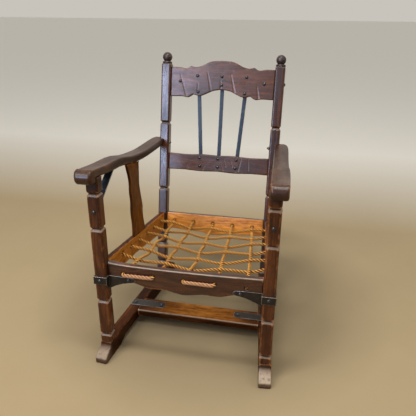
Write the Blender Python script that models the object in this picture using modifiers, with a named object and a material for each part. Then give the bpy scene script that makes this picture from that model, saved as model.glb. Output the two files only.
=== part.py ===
"""Rope seat armchair: rustic, on sled runners, with iron straps and a laced rope seat. Metres, +Z up."""
import math

import bmesh
import bpy
from mathutils import Matrix, Vector

for old in list(bpy.data.objects):
    bpy.data.objects.remove(old, do_unlink=True)

# Fits
CLEAR = 0.0003            # gap between pieces that touch
TENON_ROOT = 0.006        # part of a tenon's block that is inside its own board
TENON_CHAMFER = 0.001
OVERCUT = 0.010           # a cutter's run beyond the face that it opens
RAIL_OVERLAP = 0.004      # a rail's end before it is trimmed to its post
DRILL_OUT = 0.004         # a drill's start outside the face
SCENE_LOW = -0.1          # cutters that pass right through run between these
SCENE_HIGH = 0.7

# Front legs: y = 0 is their front face, x = 0 the chair's middle
LEG = 0.040               # square stock
LEG_SPREAD = 0.272        # centre line, from the middle
LEG_CHAMFER = 0.0045
LEG_NOTCH_UP = (0.032, 0.166)   # lower notches, above the runner
LEG_NOTCH_SEAT = 0.122    # middle notch, above the seat
LEG_NOTCH_ARM = 0.083     # top notch, below the arm
NOTCH_WIDE = 0.0135
NOTCH_DEEP = 0.0056
FOOT_TENON = 0.020        # square tenon into the runner
FOOT_TENON_LONG = 0.022
ARM_TENON = 0.018
ARM_TENON_LONG = 0.012

# Back: posts and rails share one raked frame (x across, d into the back, h up the slope)
RAKE = math.radians(12.0)
BACK_Y = 0.465            # where the posts' front plane meets the floor
POST_WIDE = 0.038
POST_DEEP = 0.040
POST_TALL = 0.9360        # up the slope, from the floor to the shoulder
POST_FOOT_SPREAD = 0.221  # centre line, from the middle
POST_TOP_SPREAD = 0.2255
POST_CHAMFER = 0.004
POST_NOTCH_UP = (0.0566, 0.1363)   # lower notches, above the runner
POST_NOTCH_SEAT = 0.1008  # above the seat
POST_NOTCH_CREST = 0.1061   # below the crest rail
POST_SHOULDER = 0.0012
BALL_R = 0.0193
BALL_UP = 0.0258          # ball's centre above the post's shoulder
# Collar under the ball: radius, height above the post's shoulder
COLLAR = ((0.0150, 0.0100), (0.0180, 0.0084), (0.0192, 0.0050), (0.0180, 0.0003))
SPIGOT_R = 0.006
SPIGOT_LONG = 0.018

BACK_RAIL_SET = 0.013     # back rails' front face behind the posts' front face
BACK_RAIL_THICK = 0.022
BACK_TENON_LONG = 0.012
BACK_TENON_THICK = 0.010
BACK_TENON_IN = 0.22      # share of the rail's height left above and below its tenon
CREST_DROP = 0.0110       # crest rail's top edge below the posts' shoulders
CREST_TALL = 0.1145       # at the posts
LOWER_TOP = 0.5815
LOWER_TALL = 0.0665
# Edges: share of the half length, rise; a new list starts at each point of the carved edge
CREST_TOP_EDGE = (
    ((0.0, 0.0286), (0.22, 0.0245), (0.39, 0.0085), (0.51, 0.0022), (0.61, 0.0062)),
    ((0.61, 0.0062), (0.70, -0.0040), (0.82, 0.0), (1.0, 0.0)),
)
CREST_LOW_EDGE = (
    ((0.0, 0.0327), (0.17, 0.0267), (0.28, 0.0165), (0.42, 0.0052), (0.557, 0.0102)),
    ((0.557, 0.0102), (0.66, -0.0021), (0.765, 0.0010), (1.0, 0.0)),
)
LOWER_TOP_EDGE = (((0.0, 0.0), (0.30, 0.0022), (0.62, -0.0012), (1.0, 0.0012)),)
LOWER_LOW_EDGE = (((0.0, 0.0015), (0.34, -0.0016), (0.68, 0.0014), (1.0, 0.0)),)

BAR_WIDE = 0.0150
BAR_THICK = 0.004
BAR_END = 0.015           # bar beyond its last nail
BAR_TIP = 0.006           # rounded end beyond that
IRON_CHAMFER = 0.0004
BAR_X = 0.0745            # side bars' centre at the lower rail
BAR_FAN = 0.0677          # how fast the side bars spread going up
# Nails of the back rails, from the rails' own edges
CREST_NAIL_DROP = 0.0317  # below the top edge
CREST_NAIL_RISE = 0.0210  # above the lower edge, side bars
CREST_NAIL_MIDDLE = 0.0500   # the same, centre bar
CREST_NAIL_END_X = 0.168
CREST_NAIL_END = 0.0600
LOWER_NAIL_DROP = 0.0123
LOWER_NAIL_RISE = 0.0209

# Seat frame
SEAT_FRONT_Z = 0.366
SEAT_REAR_Z = 0.3245
FRONT_RAIL_SET = 0.0195   # behind the legs' front faces
FRONT_TENON_DROP = (0.009, 0.030)
REAR_RAIL_SET = 0.007     # behind the posts' front faces
REAR_RAIL_THICK = 0.024
REAR_TENON_DROP = (0.016, 0.046)
SIDE_RAIL_THICK = 0.020
SIDE_RAIL_INSET = 0.005   # rail's centre inside the leg's centre
SIDE_TENON_DROP = (0.036, 0.056)
SIDE_TENON_LONG = 0.011
SIDE_TENON_SHORT = 0.003  # the rear tenon is shorter by this
SEAT_TENON_THICK = 0.009
SEAT_TENON_LONG = 0.012
# Front rail's top edge, worn hollow: share of the half length, rise
FRONT_WEAR = ((-1.0, 0.0), (-0.85, -0.0042), (-0.5, -0.0064), (0.0, -0.0064), (0.4, -0.0050), (0.75, -0.0022),
              (1.0, 0.0))
# Lower edges: share of the length, depth below the top edge
FRONT_SCALLOP = ((0.0, 0.0925), (0.12, 0.088), (0.25, 0.0820), (0.38, 0.0828), (0.48, 0.0820),
                 (0.58, 0.0740), (0.683, 0.0685), (0.85, 0.0785), (1.0, 0.0985))
REAR_SCALLOP = ((0.0, 0.0840), (0.15, 0.0800), (0.28, 0.0745), (0.50, 0.0735), (0.70, 0.0705),
                (0.86, 0.0690), (1.0, 0.0670))
SIDE_SCALLOP = ((0.0, 0.0720), (0.20, 0.0702), (0.40, 0.0688), (0.56, 0.0720), (0.78, 0.0785), (1.0, 0.0800))

# Rope seat
ROPE = 0.0098
ROPE_OUTSIDE = 0.0126     # the runs outside the rails are slack and swollen
ROPE_LOW = 0.0010         # rope lies low in its holes
ROPE_HOLE = 0.0130
WEAVE = 0.0054            # half the distance between rope centres at a crossing
FRONT_HOLE_PITCH = 0.100
FRONT_HOLE_DROP = 0.037
REAR_HOLE_PITCH = 0.0825
REAR_HOLE_SHIFT = -0.0055   # the rear holes are bored a little to the left
REAR_HOLE_DROP = 0.0350
COLUMNS = 5
ROW_FIRST_Y = 0.142
ROW_PITCH = 0.0697
ROW_HOLE_DROP = 0.0245
ROW_SAG = (0.0295, 0.0305, 0.0270, 0.0275, 0.0240, 0.0185)
COLUMN_BOW = (0.015, 0.001, 0.001, 0.0, 0.003)
KNOT = 0.0195
KNOT_LONG = 0.017

# Arms: shares run from the legs' front faces to the arm's rear end
ARM_Z = 0.688
ARM_EAR = 0.0068          # rear end behind the posts' front plane, at the arm's height
ARM_LAP = 0.017           # inner edge inside the leg's centre line, at the front
ARM_POST_LAP = 0.0010     # inner edge outside the post's centre line, at the rear end
ARM_EDGE_R = 0.007
ARM_DROP = ((0.0, 0.0035), (0.05, 0.0072), (0.15, 0.0146), (0.27, 0.0198), (0.345, 0.0267), (0.45, 0.0425),
            (0.56, 0.0520), (0.66, 0.0588), (0.80, 0.0618), (0.93, 0.0625), (1.0, 0.0612))
ARM_THICK = ((0.0, 0.0275), (0.20, 0.0290), (0.33, 0.0305), (0.54, 0.0285), (0.70, 0.0260), (1.0, 0.0255))
ARM_WIDE = ((0.0, 0.0537), (0.20, 0.0555), (0.31, 0.0550), (0.46, 0.0540), (0.70, 0.0532), (0.91, 0.0535),
            (0.955, 0.0515), (0.980, 0.0478), (1.0, 0.0400))
NOSE_FRONT = 0.035        # nose in front of the legs
NOSE_TALL = 0.047
NOSE_RINGS = ((78, 0.0050), (55, 0.0022), (30, 0.0006), (0, 0.0))   # degrees round the nose, inset
NOSE_LAP = 0.96           # share of the nose's height that laps down in front of the leg
ARM_RINGS = (0.045, 0.10, 0.16, 0.22, 0.28, 0.34, 0.39, 0.44, 0.49, 0.55, 0.61, 0.68, 0.77, 0.85, 0.91, 0.955,
             0.980, 1.0)
ARM_ROUND = 0.45          # most of a side that its two rounded edges may each take
ARM_BOLT_IN = 0.0075      # bolt behind the post's front face
ARM_BOLT_AT = 0.93        # share of the arm's length
ARM_BOLT_DROP = 0.0155    # below the arm's top there
BOLT_R = 0.003
BOLT_HEAD = 0.0075        # forged head, a blunt pyramid
BOLT_POINT = 0.0100
BOLT_SHAPE = ((0.0, 1.0), (0.3, 0.8), (1.0, 0.2), (0.95, 0.0))   # shares of radius and height
BOLT_BITE = 0.009         # bolt in the arm, beyond the post

# Arm splats and braces
SPLAT_THICK = 0.011
SPLAT_LEAN = math.radians(0.9)
SPLAT_PROUD = 0.0006      # splat's inner face outside the rail's
SPLAT_FRONT = ((0.0, 0.2440), (0.18, 0.2462), (0.35, 0.2425), (0.50, 0.2470), (0.63, 0.2435), (0.78, 0.2460),
               (1.0, 0.2285))
SPLAT_REAR = ((0.0, 0.3410), (0.10, 0.3335), (0.26, 0.3275), (0.38, 0.3295), (0.53, 0.3215), (0.69, 0.3145),
              (0.82, 0.3170), (1.0, 0.3210))
SPLAT_TENON = (0.030, 0.006, 0.009)
SPLAT_HEAD_SHIFT = 0.018  # the upper tenon ahead of the lower one
BRACE_WIDE = 0.025
BRACE_THICK = 0.004
BRACE_DROP = (0.148, 0.116)   # foot on the leg, below the arm's height
BRACE_ARM_Y = (0.147, 0.187)
BRACE_NAIL_UP = 0.011     # above the foot's end
BRACE_NAIL_AT = 0.66      # share of the brace's length under the arm
BRACE_GAP = 0.0002        # more gap under the arm's curve
RIVET_BITE = 0.0004       # nail heads sunk in the brace

# Base
RUNNER_WIDE = 0.042
RUNNER_TALL = 0.060
RUNNER_CHAMFER = 0.0025
RUNNER_TOE = 0.0625       # ahead of the leg's centre
RUNNER_HEEL = 0.583
RUNNER_ARCH = 0.018
RUNNER_ARCH_SPAN = (0.040, 0.345)
RUNNER_ARCH_EASE = 0.055
TOE_TIP = 0.020
TOE_CURVE = 1.4           # above 1, the toe is rounded
TOE_ROUND = 0.003
HEEL_ROUND = 0.006
HEEL_EASE = ((0.0, 0.022), (0.006, 0.007), (0.020, 0.0))   # ahead of the heel, below the top
TOE_TOP = 0.047           # worn toe's height at the leg
BOARD_Y = (0.201, 0.284)
BOARD_THICK = 0.028
BOARD_CHAMFER = 0.003
BOARD_TENON = (0.050, 0.012, 0.012)

# Iron straps and nails
STRAP_THICK = 0.0025
STRAP_RETURN = 0.030
STRAP_DROP = 0.0455       # below the seat's front
STRAP_TALL = 0.028
STRAP_REACH = 0.092       # along the rail, from the leg
STRAP_EDGE = 0.001        # above the rail's lower edge
STRAP_SINK = 0.0015       # top edge lower on the rail than on the leg
STRAP_TAPER = 0.002
STRAP_TIP = ((0.003, 0.0055), (0.0, 0.0025))   # inside the end, half height
STRAP_NAIL_AT = 0.74      # share of the reach
BOARD_STRAP_Y = (0.228, 0.265)
BOARD_STRAP_LONG = 0.133
BOARD_STRAP_IN = 0.006    # outer end inside the leg's centre line
BOARD_STRAP_ROUND = 0.45  # roundness of the inner end
BOARD_NAIL_IN = (0.016, 0.015)   # nails inside the inner and the outer end
NAIL_HEAD = 0.0066
NAIL_DOME = 0.0042
NAIL_BULGE = (0.66, 0.72)   # shares of radius and height on the dome
NAIL_R = 0.0018
NAIL_LONG = 0.016
LEG_NAIL_Z = 0.548
STRAP_NAIL_UP = 0.0155    # above the strap's lower edge

PLATE_CHAMFER = 0.0018
EDGE_STEPS = 3            # points per span of a shaped edge

WOOD = ((0.085, 0.040, 0.022, 1.0), 0.32, 0.0)
AMBER = ((0.170, 0.075, 0.032, 1.0), 0.36, 0.0)
IRON = ((0.030, 0.029, 0.030, 1.0), 0.48, 1.0)
FIBRE = ((0.460, 0.235, 0.085, 1.0), 0.85, 0.0)

parts = bpy.data.collections.new("rope_seat_armchair")
cutters = bpy.data.collections.new("cutters")
bpy.context.scene.collection.children.link(parts)
bpy.context.scene.collection.children.link(cutters)
SIDES = (("left", -1), ("right", 1))


def frame(name, parent=None, location=(0.0, 0.0, 0.0), rotation=(0.0, 0.0, 0.0)):
    empty = bpy.data.objects.new(name, None)
    empty.parent = parent
    empty.location = location
    empty.rotation_euler = rotation
    parts.objects.link(empty)
    return empty


def paint(name, finish):
    colour, roughness, metallic = finish
    material = bpy.data.materials.new(name)
    material.use_nodes = True
    shader = material.node_tree.nodes["Principled BSDF"]
    shader.inputs["Base Color"].default_value = colour
    shader.inputs["Roughness"].default_value = roughness
    shader.inputs["Metallic"].default_value = metallic
    return material


def mesh_of(bm, name):
    bmesh.ops.recalc_face_normals(bm, faces=bm.faces)
    mesh = bpy.data.meshes.new(name)
    bm.to_mesh(mesh)
    bm.free()
    return mesh


def part(name, mesh, finish, parent):
    thing = bpy.data.objects.new(name, mesh)
    if not mesh.materials or mesh.users == 1:
        mesh.materials.clear()
        mesh.materials.append(paint(name, finish))
    thing.parent = parent
    parts.objects.link(thing)
    return thing


def tool(name, mesh, parent):
    thing = bpy.data.objects.new(name, mesh)
    thing.parent = parent
    thing.hide_render = True
    thing.display_type = "WIRE"
    cutters.objects.link(thing)
    return thing


def boolean(target, other, operation):
    modifier = target.modifiers.new(other.name, "BOOLEAN")
    modifier.operation = operation
    modifier.solver = "EXACT"
    modifier.object = other


def cut(target, other):
    boolean(target, other, "DIFFERENCE")


def fuse(target, other):
    boolean(target, other, "UNION")


def evaluated(thing):
    bpy.context.view_layer.update()
    graph = bpy.context.evaluated_depsgraph_get()
    return bpy.data.meshes.new_from_object(thing.evaluated_get(graph))


def loft(rings):
    bm = bmesh.new()
    loops = [[bm.verts.new(point) for point in ring] for ring in rings]
    for lower, upper in zip(loops, loops[1:]):
        for i, start in enumerate(lower):
            j = (i + 1) % len(lower)
            bm.faces.new((start, lower[j], upper[j], upper[i]))
    bm.faces.new(loops[0][::-1])
    bm.faces.new(loops[-1])
    return bm


def ring(cx, cy, half_x, half_y, chamfer, height):
    corners = (
        (cx - half_x + chamfer, cy - half_y),
        (cx + half_x - chamfer, cy - half_y),
        (cx + half_x, cy - half_y + chamfer),
        (cx + half_x, cy + half_y - chamfer),
        (cx + half_x - chamfer, cy + half_y),
        (cx - half_x + chamfer, cy + half_y),
        (cx - half_x, cy + half_y - chamfer),
        (cx - half_x, cy - half_y + chamfer),
    )
    return [(x, y, height(y)) for x, y in corners]


def box(name, low, high, parent, grow=0.0):
    bm = bmesh.new()
    bmesh.ops.create_cube(bm, size=1.0)
    size = [abs(b - a) + 2 * grow for a, b in zip(low, high)]
    centre = [(a + b) / 2 for a, b in zip(low, high)]
    bmesh.ops.transform(bm, matrix=Matrix.Translation(centre) @ Matrix.Diagonal((*size, 1.0)), verts=bm.verts)
    return tool(name, mesh_of(bm, name), parent)


def joint(name, guest, host, low, high, parent):
    """A tenon of the guest, in a mortise of the host."""
    fuse(guest, box(name + "_tenon", low, high, parent))
    cut(host, box(name + "_mortise", low, high, parent, CLEAR))


def toward(direction):
    return Vector(direction).to_track_quat("Z", "Y").to_matrix().to_4x4()


def bores(name, holes, radius, parent, sides=12):
    """Cylinders (start, end), one cutter."""
    bm = bmesh.new()
    for start, end in holes:
        run = Vector(end) - Vector(start)
        place = Matrix.Translation((Vector(start) + Vector(end)) / 2) @ toward(run)
        bmesh.ops.create_cone(bm, cap_ends=True, segments=sides, radius1=radius, radius2=radius,
                              depth=run.length, matrix=place)
    return tool(name, mesh_of(bm, name), parent)


def wave(points, u):
    """Value at u of a smooth curve through (u, value) points."""
    last = len(points) - 1
    k = 0
    while k < last - 1 and u > points[k + 1][0]:
        k += 1

    def slope(i):
        a, b = points[max(i - 1, 0)], points[min(i + 1, last)]
        return (b[1] - a[1]) / (b[0] - a[0])

    span = points[k + 1][0] - points[k][0]
    t = (u - points[k][0]) / span
    rise = points[k + 1][1] - points[k][1]
    m0 = slope(k) * span
    m1 = slope(k + 1) * span
    return points[k][1] + m0 * t + (3 * rise - 2 * m0 - m1) * t ** 2 + (m0 + m1 - 2 * rise) * t ** 3


def edge(points, steps=EDGE_STEPS):
    """Points along a smooth edge, with a few between each pair of the given ones."""
    line = []
    for (a, _), (b, _) in zip(points, points[1:]):
        for i in range(steps):
            u = a + (b - a) * i / steps
            line.append((u, wave(points, u)))
    line.append(tuple(points[-1]))
    return line


def mirrored(spans, half, base):
    """A symmetric edge from -half to half; spans hold (share of half, rise above base)."""
    right = []
    for span in spans:
        line = [(share * half, base + rise) for share, rise in edge(span)]
        right += line if not right else line[1:]
    return [(-u, v) for u, v in right[:0:-1]] + right


def plate(name, outline, near, far, axes, chamfer=PLATE_CHAMFER):
    """A board sawn to an outline, from near to far; axes name its (across, up, thickness) directions."""
    curve = bpy.data.curves.new(name, "CURVE")
    curve.dimensions = "2D"
    curve.fill_mode = "BOTH"
    curve.extrude = (far - near) / 2 - chamfer
    curve.bevel_depth = chamfer
    curve.bevel_resolution = 0
    curve.offset = -chamfer
    spline = curve.splines.new("POLY")
    spline.points.add(len(outline) - 1)
    spline.use_cyclic_u = True
    for point, (u, v) in zip(spline.points, outline):
        point.co = (u, v, 0.0, 1.0)
    sketch = bpy.data.objects.new(name + "_outline", curve)
    cutters.objects.link(sketch)
    mesh = evaluated(sketch)
    bpy.data.objects.remove(sketch, do_unlink=True)
    turn = Matrix.Identity(4)
    for column, axis in enumerate(axes):
        for row in range(3):
            turn[row][column] = 1.0 if row == "xyz".index(axis) else 0.0
    bm = bmesh.new()
    bm.from_mesh(mesh)
    bmesh.ops.remove_doubles(bm, verts=bm.verts, dist=0.00001)
    middle = Vector((0.0, 0.0, (near + far) / 2))
    bmesh.ops.transform(bm, matrix=turn @ Matrix.Translation(middle), verts=bm.verts)
    return mesh_of(bm, name)


def turned(name, profile, steps):
    """A profile (radius, height), top to bottom, turned about its own axis."""
    mesh = bpy.data.meshes.new(name)
    mesh.from_pydata([(r, 0.0, z) for r, z in profile], [(i, i + 1) for i in range(len(profile) - 1)], [])
    thing = bpy.data.objects.new(name + "_profile", mesh)
    cutters.objects.link(thing)
    screw = thing.modifiers.new("turn", "SCREW")
    screw.steps = steps
    screw.render_steps = steps
    screw.use_merge_vertices = True
    screw.merge_threshold = 0.00001
    result = evaluated(thing)
    bpy.data.objects.remove(thing, do_unlink=True)
    return result


def nail_mesh(name, long):
    bulge = (NAIL_BULGE[0] * NAIL_HEAD, NAIL_BULGE[1] * NAIL_DOME)
    profile = ((0.0, NAIL_DOME), bulge, (NAIL_HEAD, 0.0), (NAIL_R, 0.0), (NAIL_R, -long), (0.0, -long))
    return turned(name, profile, 8)


def nail_places(spots, seat):
    """Where nails at (point on the face, way out of it) stand, a little off the face."""
    places = []
    for point, out in spots:
        out = Vector(out).normalized()
        places.append((Vector(point) + out * seat, out))
    return places


def drill(name, places, long, hosts, parent):
    holes = [(point + out * DRILL_OUT, point - out * (long + CLEAR)) for point, out in places]
    bore = bores(name, holes, NAIL_R + CLEAR, parent, 8)
    for host in hosts:
        cut(host, bore)


def nails(names, spots, long, hosts, parent):
    """Domed nails, one object each, with holes in the hosts."""
    mesh = nail_mesh(names[0], long)
    places = nail_places(spots, CLEAR)
    for name, (point, out) in zip(names, places):
        nail = part(name, mesh, IRON, parent)
        nail.location = point
        nail.rotation_euler = toward(out).to_euler()
    drill(names[0] + "_holes", places, long, hosts, parent)


def sheet(name, columns, thick, parent, finish=IRON):
    """Bent strap iron through pairs of points, given thickness both ways."""
    bm = bmesh.new()
    pairs = [(bm.verts.new(a), bm.verts.new(b)) for a, b in columns]
    for (a, b), (c, d) in zip(pairs, pairs[1:]):
        bm.faces.new((a, c, d, b))
    thing = part(name, mesh_of(bm, name), finish, parent)
    shell = thing.modifiers.new("thickness", "SOLIDIFY")
    shell.thickness = thick
    shell.offset = 0.0
    shell.solidify_mode = "NON_MANIFOLD"
    shell.nonmanifold_thickness_mode = "CONSTRAINTS"
    return thing


def post_x(h):
    return POST_FOOT_SPREAD + (POST_TOP_SPREAD - POST_FOOT_SPREAD) * h / POST_TALL


# Arm lines: shares of the arm's length from the legs' front faces
ARM_END_Y = BACK_Y + ARM_Z * math.tan(RAKE) + ARM_EAR
ARM_FRONT_X = LEG_SPREAD - ARM_LAP
ARM_REAR_X = post_x(ARM_Z / math.cos(RAKE)) + ARM_POST_LAP


def arm_top(y):
    return ARM_Z - wave(ARM_DROP, max(y, 0.0) / ARM_END_Y)


def arm_under(y):
    return arm_top(y) - wave(ARM_THICK, max(y, 0.0) / ARM_END_Y)


def arm_inner(y):
    return ARM_FRONT_X + (ARM_REAR_X - ARM_FRONT_X) * y / ARM_END_Y


def raked(x, d, h):
    return Vector((x, BACK_Y + h * math.sin(RAKE) + d * math.cos(RAKE),
                   h * math.cos(RAKE) - d * math.sin(RAKE)))


def slope_h(z, d):
    return (z + d * math.sin(RAKE)) / math.cos(RAKE)


REAR_TOP = slope_h(SEAT_REAR_Z, REAR_RAIL_SET)
SEAT_REAR_Y = raked(0.0, REAR_RAIL_SET, REAR_TOP).y
SEAT_SLOPE = (SEAT_REAR_Z - SEAT_FRONT_Z) / (SEAT_REAR_Y - FRONT_RAIL_SET)
BALL_H = POST_TALL + BALL_UP
BACK_MOST = raked(0.0, POST_DEEP / 2, BALL_H).y + BALL_R


def seat_top(y):
    return SEAT_FRONT_Z + SEAT_SLOPE * (y - FRONT_RAIL_SET)


CREST_TOP = POST_TALL - CREST_DROP
CREST_LOW = CREST_TOP - CREST_TALL
LOWER_LOW = LOWER_TOP - LOWER_TALL
CREST_NAIL_END_H = CREST_LOW + CREST_NAIL_END
LOWER_NAILS = (LOWER_TOP - LOWER_NAIL_DROP, LOWER_LOW + LOWER_NAIL_RISE)
LEG_NOTCHES = [RUNNER_TALL + rise for rise in LEG_NOTCH_UP]
LEG_NOTCHES += [SEAT_FRONT_Z + LEG_NOTCH_SEAT, ARM_Z - LEG_NOTCH_ARM]
POST_NOTCHES = [RUNNER_TALL + rise for rise in POST_NOTCH_UP]
POST_NOTCHES += [REAR_TOP + POST_NOTCH_SEAT, CREST_LOW - POST_NOTCH_CREST]


# Plan angles of the side rails and of the runners
SIDE_X = LEG_SPREAD - SIDE_RAIL_INSET
SIDE_END = raked(post_x(REAR_TOP), 0.0, REAR_TOP)
SIDE_TURN = math.atan2(SIDE_X - SIDE_END.x, SIDE_END.y - LEG)
SIDE_LONG = math.hypot(SIDE_X - SIDE_END.x, SIDE_END.y - LEG)
FOOT_H = slope_h(RUNNER_TALL, POST_DEEP / 2)
FOOT = raked(post_x(FOOT_H), POST_DEEP / 2, FOOT_H)
RUNNER_TURN = math.atan2(LEG_SPREAD - FOOT.x, FOOT.y - LEG / 2)

toe_half = RUNNER_WIDE / 2 - RUNNER_CHAMFER
toe_y = LEG / 2 - RUNNER_TOE * math.cos(RUNNER_TURN) - toe_half * math.sin(RUNNER_TURN)
chair = frame("armchair", None, (0.0, -(toe_y + BACK_MOST) / 2, 0.0))
back = frame("back_frame", chair, (0.0, BACK_Y, 0.0), (-RAKE, 0.0, 0.0))
side_frame = {}
runner_frame = {}
for side, s in SIDES:
    side_frame[s] = frame("side_frame_" + side, chair, (s * SIDE_X, LEG, 0.0), (0.0, 0.0, s * SIDE_TURN))
    runner_frame[s] = frame("runner_frame_" + side, chair, (s * LEG_SPREAD, LEG / 2, 0.0),
                            (0.0, 0.0, s * RUNNER_TURN))

# Front legs: chamfered square stock with V-notches, a tenon at each end
leg = {}
for side, s in SIDES:
    def leg_ring(half, chamfer, height, x=s * LEG_SPREAD):
        return ring(x, LEG / 2, half, half, chamfer, height)

    rings = [
        leg_ring(FOOT_TENON / 2, TENON_CHAMFER, lambda y: RUNNER_TALL - FOOT_TENON_LONG),
        leg_ring(FOOT_TENON / 2, TENON_CHAMFER, lambda y: RUNNER_TALL + CLEAR),
        leg_ring(LEG / 2, LEG_CHAMFER, lambda y: RUNNER_TALL + CLEAR),
    ]
    for z in LEG_NOTCHES:
        rings.append(leg_ring(LEG / 2, LEG_CHAMFER, lambda y, z=z: z - NOTCH_WIDE / 2))
        rings.append(leg_ring(LEG / 2 - NOTCH_DEEP, LEG_CHAMFER, lambda y, z=z: z))
        rings.append(leg_ring(LEG / 2, LEG_CHAMFER, lambda y, z=z: z + NOTCH_WIDE / 2))
    rings.append(leg_ring(LEG / 2, LEG_CHAMFER, lambda y: arm_under(y) - CLEAR))
    rings.append(leg_ring(ARM_TENON / 2, TENON_CHAMFER, lambda y: arm_under(y) - CLEAR))
    rings.append(leg_ring(ARM_TENON / 2, TENON_CHAMFER, lambda y: arm_under(y) + ARM_TENON_LONG))
    name = "front_leg_" + side
    leg[s] = part(name, mesh_of(loft(rings), name), WOOD, chair)

# Rear posts: one straight raked piece each, from the runner to the shoulder under the finial
post = {}
post_body = {}
for side, s in SIDES:
    def post_ring(shrink, chamfer, h, grow=0.0, s=s):
        return ring(s * post_x(h(POST_DEEP / 2)), POST_DEEP / 2, POST_WIDE / 2 - shrink + grow,
                    POST_DEEP / 2 - shrink + grow, chamfer, h)

    def foot_ring(h, grow=0.0, s=s):
        half = FOOT_TENON / 2 + grow
        return ring(s * post_x(h(POST_DEEP / 2)), POST_DEEP / 2, half, half, TENON_CHAMFER, h)

    rings = [
        foot_ring(lambda d: slope_h(RUNNER_TALL, d) - FOOT_TENON_LONG),
        foot_ring(lambda d: slope_h(RUNNER_TALL + CLEAR, d)),
        post_ring(0.0, POST_CHAMFER, lambda d: slope_h(RUNNER_TALL + CLEAR, d)),
    ]
    for notch in POST_NOTCHES:
        rings.append(post_ring(0.0, POST_CHAMFER, lambda d, h=notch: h - NOTCH_WIDE / 2))
        rings.append(post_ring(NOTCH_DEEP, POST_CHAMFER, lambda d, h=notch: h))
        rings.append(post_ring(0.0, POST_CHAMFER, lambda d, h=notch: h + NOTCH_WIDE / 2))
    rings.append(post_ring(0.0, POST_CHAMFER, lambda d: POST_TALL - POST_SHOULDER))
    rings.append(post_ring(POST_SHOULDER, POST_CHAMFER, lambda d: POST_TALL))
    name = "rear_post_" + side
    post[s] = part(name, mesh_of(loft(rings), name), WOOD, back)
    mouth = (s * POST_TOP_SPREAD, POST_DEEP / 2, POST_TALL + OVERCUT)
    bottom = (s * POST_TOP_SPREAD, POST_DEEP / 2, POST_TALL - SPIGOT_LONG - CLEAR)
    spigot = bores("spigot_bore_" + side, [(mouth, bottom)], SPIGOT_R + 2 * CLEAR, back)
    cut(post[s], spigot)
    rings = [post_ring(0.0, TENON_CHAMFER, lambda d: SCENE_LOW / 2, CLEAR),
             post_ring(0.0, TENON_CHAMFER, lambda d: POST_TALL - SCENE_LOW, CLEAR)]
    post_body[s] = tool("post_space_" + side, mesh_of(loft(rings), "post_space_" + side), back)

# Finials: a ball on a collar, with a spigot in the post
ball = []
for i in range(9):
    turn = math.radians(180 - 18 * i) - math.radians(90)
    ball.append((BALL_R * math.cos(turn), BALL_UP + BALL_R * math.sin(turn)))
ball[0] = (0.0, BALL_UP + BALL_R)
ball += COLLAR
ball += [(SPIGOT_R, CLEAR), (SPIGOT_R, -SPIGOT_LONG), (0.0, -SPIGOT_LONG)]
for side, s in SIDES:
    finial = part("finial_" + side, turned("finial_" + side, ball, 14), WOOD, back)
    finial.location = (s * POST_TOP_SPREAD, POST_DEEP / 2, POST_TALL)

# Crest rail and lower back rail: sawn boards trimmed to the posts, then given tenons
tenon_d = BACK_RAIL_SET + BACK_RAIL_THICK / 2


def back_rail(name, top, low, top_edge, low_edge):
    half = post_x((top + low) / 2) - POST_WIDE / 2
    outline = mirrored(top_edge, half, top)
    outline += mirrored(low_edge, half, low)[::-1]
    ends = half - CLEAR
    outline = [(u + math.copysign(RAIL_OVERLAP, u) if abs(u) > ends else u, v) for u, v in outline]
    plank = plate(name, outline, BACK_RAIL_SET, BACK_RAIL_SET + BACK_RAIL_THICK, "xzy")
    board = part(name, plank, WOOD, back)
    for side, s in SIDES:
        cut(board, post_body[s])
    for side, s in SIDES:
        low_h = low + BACK_TENON_IN * (top - low)
        high_h = top - BACK_TENON_IN * (top - low)
        x0 = s * (half - TENON_ROOT)
        x1 = s * (half + BACK_TENON_LONG)
        joint(name + "_" + side, board, post[s], (min(x0, x1), tenon_d - BACK_TENON_THICK / 2, low_h),
              (max(x0, x1), tenon_d + BACK_TENON_THICK / 2, high_h), back)
    return board


crest = back_rail("crest_rail", CREST_TOP, CREST_LOW, CREST_TOP_EDGE, CREST_LOW_EDGE)
lower = back_rail("lower_back_rail", LOWER_TOP, LOWER_LOW, LOWER_TOP_EDGE, LOWER_LOW_EDGE)

# Flat iron bars behind both back rails, held by nails through rail and bar
bar_d = BACK_RAIL_SET + BACK_RAIL_THICK + CLEAR


def bar_x(k, h):
    return k * (BAR_X + BAR_FAN * (h - sum(LOWER_NAILS) / 2))


bars = []
for k, side in ((-1, "left"), (0, "centre"), (1, "right")):
    low_h = LOWER_NAILS[1] - BAR_END
    high_h = CREST_TOP - CREST_NAIL_DROP + BAR_END
    outline = []
    for h, way in ((low_h, -1), (high_h, 1)):
        for i in range(6):
            turn = math.pi * i / 5
            x = bar_x(k, h) + way * BAR_WIDE / 2 * math.cos(turn)
            outline.append((x, h + way * BAR_TIP * math.sin(turn)))
    name = "back_bar_" + side
    flat = plate(name, outline, bar_d, bar_d + BAR_THICK, "xzy", IRON_CHAMFER)
    bars.append(part(name, flat, IRON, back))

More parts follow.
